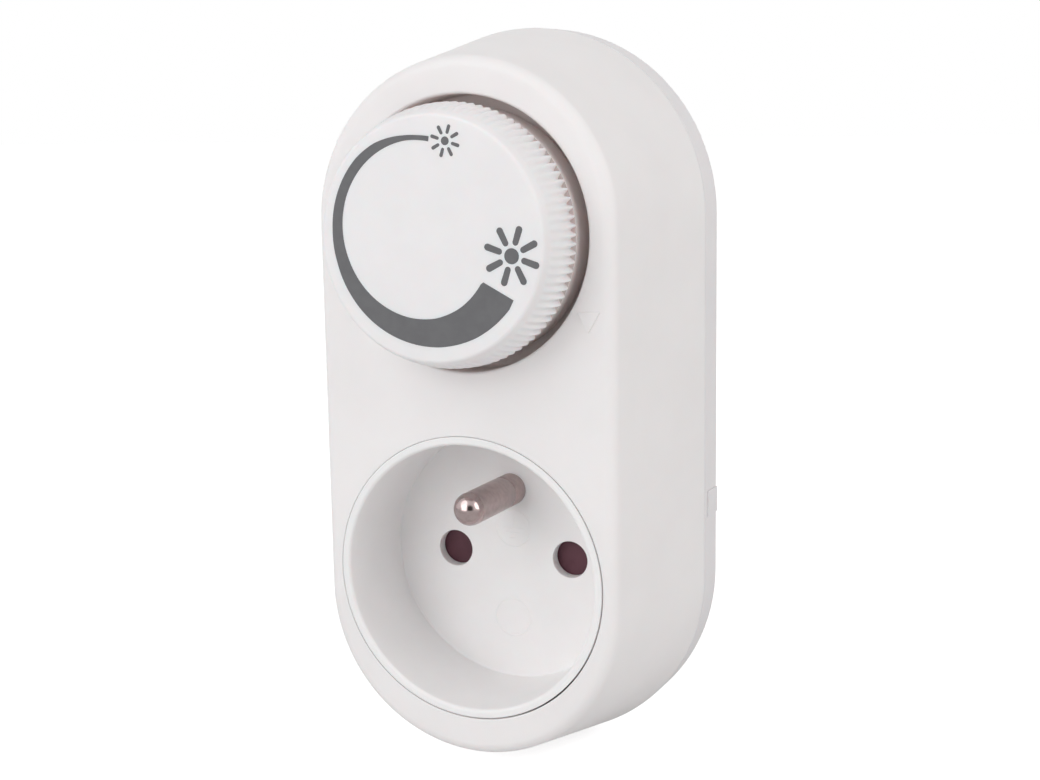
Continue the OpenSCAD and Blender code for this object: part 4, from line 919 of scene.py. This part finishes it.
def makeKnobPrint(s, suns, rays):
    bm = bmesh.new()
    lifted = [(x, knob["z"] + z) for x, z in swellOutline(s)]
    addPlate(bm, lifted, s["front"], s["rear"])
    tree = rayTree()
    for sun in suns:
        x, z = sun["centre"][0], knob["z"] + sun["centre"][1]
        dot = [(x + sun["dot"] * math.cos(math.radians(a)), z + sun["dot"] * math.sin(math.radians(a)))
               for a in range(0, 360, rays["dotStep"])]
        addPlate(bm, dot, s["front"], s["rear"])
        bm.from_mesh(makeRays(tree, sun, rays, (s["front"], s["rear"]), s["sharp"]))
    return meshFrom(bm, "knobPrint", s["sharp"])


addPiece("knobPrint", makeKnobPrint(swell, (smallSun, bigSun), sunRays), "printGrey", "knob", "knob_white")
print("knob print made")


# Case screws: one pan-head screw, set at its four places by Geometry Nodes
caseScrew = {"headR": 2.6, "seat": 26.2, "headH": 2.0, "edge": 0.5, "shankR": 1.4, "length": 12.5, "tipLength": 1.2,
             "tipR": 0.3, "crossHalf": 0.42, "crossReach": 1.5, "crossDepth": 1.0, "crossTaper": 0.8, "turn": 0.7,
             "count": 4, "land": 0.05, "steps": 48, "sharp": 35}


def screwTree():
    tree, source, output = startTree("caseScrews", screwCount="Int", sideReach="Float", highZ="Float",
                                     lowZ="Float", turn="Float", finish="Material")
    order = addNode(tree, "GeometryNodeInputIndex")
    odd = mathNode(tree, "MODULO", order.outputs[0], 2)
    upper = mathNode(tree, "GREATER_THAN", order.outputs[0], 1.5)
    leftOrRight = mathNode(tree, "SUBTRACT", mathNode(tree, "MULTIPLY", odd, 2), 1)
    side = mathNode(tree, "MULTIPLY", leftOrRight, source.outputs["sideReach"])
    height = mathNode(tree, "SUBTRACT", source.outputs["highZ"], source.outputs["lowZ"])
    rise = mathNode(tree, "MULTIPLY", upper, height)
    spot = addNode(tree, "ShaderNodeCombineXYZ")
    tree.links.new(side, spot.inputs["X"])
    tree.links.new(mathNode(tree, "ADD", rise, source.outputs["lowZ"]), spot.inputs["Z"])
    points = addNode(tree, "GeometryNodePoints")
    tree.links.new(source.outputs["screwCount"], points.inputs["Count"])
    tree.links.new(spot.outputs[0], points.inputs["Position"])
    spin = addNode(tree, "ShaderNodeCombineXYZ")
    tree.links.new(mathNode(tree, "MULTIPLY", order.outputs[0], source.outputs["turn"]), spin.inputs["Y"])
    return endWithCopies(tree, points, spin, source, output)


def makeCaseScrews(s, box):
    bm = bmesh.new()
    top, edge = s["seat"] + s["headH"], s["edge"]
    profile = [(s["headR"] - edge - s["land"], top)] + arc((s["headR"] - edge, top - edge), edge, 90, 0, steps=6)
    tip = s["seat"] - s["length"]
    profile += [(s["headR"], s["seat"]), (s["shankR"], s["seat"]), (s["shankR"], tip + s["tipLength"]),
                (s["tipR"], tip)]
    rings = turnedWall(bm, 0, 0, profile, s["steps"])
    fanTo(bm, rings[-1], at(0, tip, 0))
    h, k, taper = s["crossHalf"], s["crossReach"], s["crossTaper"]
    cross = [(k, -h), (k, h), (h, h), (h, k), (-h, k), (-h, h),
             (-k, h), (-k, -h), (-h, -h), (-h, -k), (h, -k), (h, -h)]
    high = [bm.verts.new(at(x, top, z)) for x, z in cross]
    low = [bm.verts.new(at(x * taper, top - s["crossDepth"], z * taper)) for x, z in cross]
    joinRings(bm, high, low)
    fillFlat(bm, rings[0], high)
    fillFlat(bm, low)
    one = meshFrom(bm, "caseScrew", s["sharp"])
    head = s["headR"] * mm
    values = {"screwCount": s["count"], "sideReach": box[1].x - head, "highZ": box[1].z - head,
              "lowZ": box[0].z + head, "turn": s["turn"], "finish": finish["screwSteel"]}
    return runTree(one, screwTree(), values, "caseScrews")


addPiece("caseScrews", makeCaseScrews(caseScrew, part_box("case_screws")), None, "case", "screw_steel", "case_screws")
print("case screws made")


# Pale floor that is white where it is lit and keeps the object's shadow
floorLook = {"colour": (0.8, 0.8, 0.8, 1), "rough": 0.9, "gloss": 0.1, "glow": 0.7}


def floorFinish(s):
    material, tree, shader = startMaterial("floorPale")
    setInputs(shader, {"Base Color": s["colour"], "Roughness": s["rough"], "Specular IOR Level": s["gloss"]})
    rays = addNode(tree, "ShaderNodeLightPath")
    lamp = addNode(tree, "ShaderNodeEmission")
    tree.links.new(mathNode(tree, "MULTIPLY", rays.outputs["Is Camera Ray"], s["glow"]), lamp.inputs["Strength"])
    both = addNode(tree, "ShaderNodeAddShader")
    tree.links.new(shader.outputs[0], both.inputs[0])
    tree.links.new(lamp.outputs[0], both.inputs[1])
    tree.links.new(both.outputs[0], tree.nodes["Material Output"].inputs["Surface"])
    return material


# The lamps give place, size, power and tint; the room is dim behind the camera, as the pin's dome shows
studio = {"world": 0.41, "floorGap": 0.06, "floorHalf": 6.0, "dimHalf": (16.0, 28.0), "dimLevel": 0.08,
          "aim": (0, -0.03, 0.025),
          "lamps": (("keyLamp", (-0.45, -0.8, 0.7), 1.0, 3.5, (0.99, 0.995, 1.0)),
                    ("fillLamp", (0.95, -0.12, 0.5), 0.9, 4.1, (1.0, 0.985, 0.97)),
                    ("frontLamp", (-0.3, -1.0, 0.25), 0.8, 2.6, (1.0, 1.0, 1.0)))}


def addFloor(s):
    bm = bmesh.new()
    h, level = s["floorHalf"], cadBox[0].z - s["floorGap"] * mm
    bm.faces.new([bm.verts.new((x, y, level)) for x, y in ((-h, -h), (h, -h), (h, h), (-h, h))])
    mesh = bpy.data.meshes.new("paleFloor")
    bm.to_mesh(mesh)
    bm.free()
    floor = bpy.data.objects.new("paleFloor", mesh)
    mesh.materials.append(floorFinish(floorLook))
    bpy.context.scene.collection.objects.link(floor)


def addLamps(s):
    for name, place, size, power, tint in s["lamps"]:
        data = bpy.data.lights.new(name, "AREA")
        data.shape = "DISK"
        data.size = size
        data.energy = power
        data.color = tint
        lamp = bpy.data.objects.new(name, data)
        lamp.location = place
        aim = Vector(s["aim"]) - Vector(place)
        lamp.rotation_euler = aim.to_track_quat("-Z", "Y").to_euler()
        bpy.context.scene.collection.objects.link(lamp)


def addWorld(s):
    world = bpy.data.worlds.new("studioWhite")
    bpy.context.scene.world = world
    world.use_nodes = True
    tree = world.node_tree
    sky = tree.nodes["Background"]
    sky.inputs["Color"].default_value = (1, 1, 1, 1)
    rays = addNode(tree, "ShaderNodeLightPath")
    coords = addNode(tree, "ShaderNodeTexCoord")
    toward = addNode(tree, "ShaderNodeVectorMath", operation="DOT_PRODUCT")
    toward.inputs[1].default_value = bpy.context.scene.camera.location.normalized()
    tree.links.new(coords.outputs["Generated"], toward.inputs[0])
    inner, outer = (math.cos(math.radians(a)) for a in s["dimHalf"])
    dim = rangeNode(tree, toward.outputs["Value"], outer, inner, 1.0, s["dimLevel"])
    glossy = rays.outputs["Is Glossy Ray"]
    white = mathNode(tree, "MAXIMUM", rays.outputs["Is Camera Ray"], rays.outputs["Is Transmission Ray"])
    white = mathNode(tree, "MAXIMUM", white, mathNode(tree, "MULTIPLY", glossy, dim))
    soft = mathNode(tree, "MULTIPLY", s["world"], mathNode(tree, "SUBTRACT", 1, glossy))
    tree.links.new(mathNode(tree, "MAXIMUM", white, soft), sky.inputs["Strength"])


addFloor(studio)
addLamps(studio)
addWorld(studio)
bpy.context.scene.view_settings.view_transform = "Standard"
print("studio set")
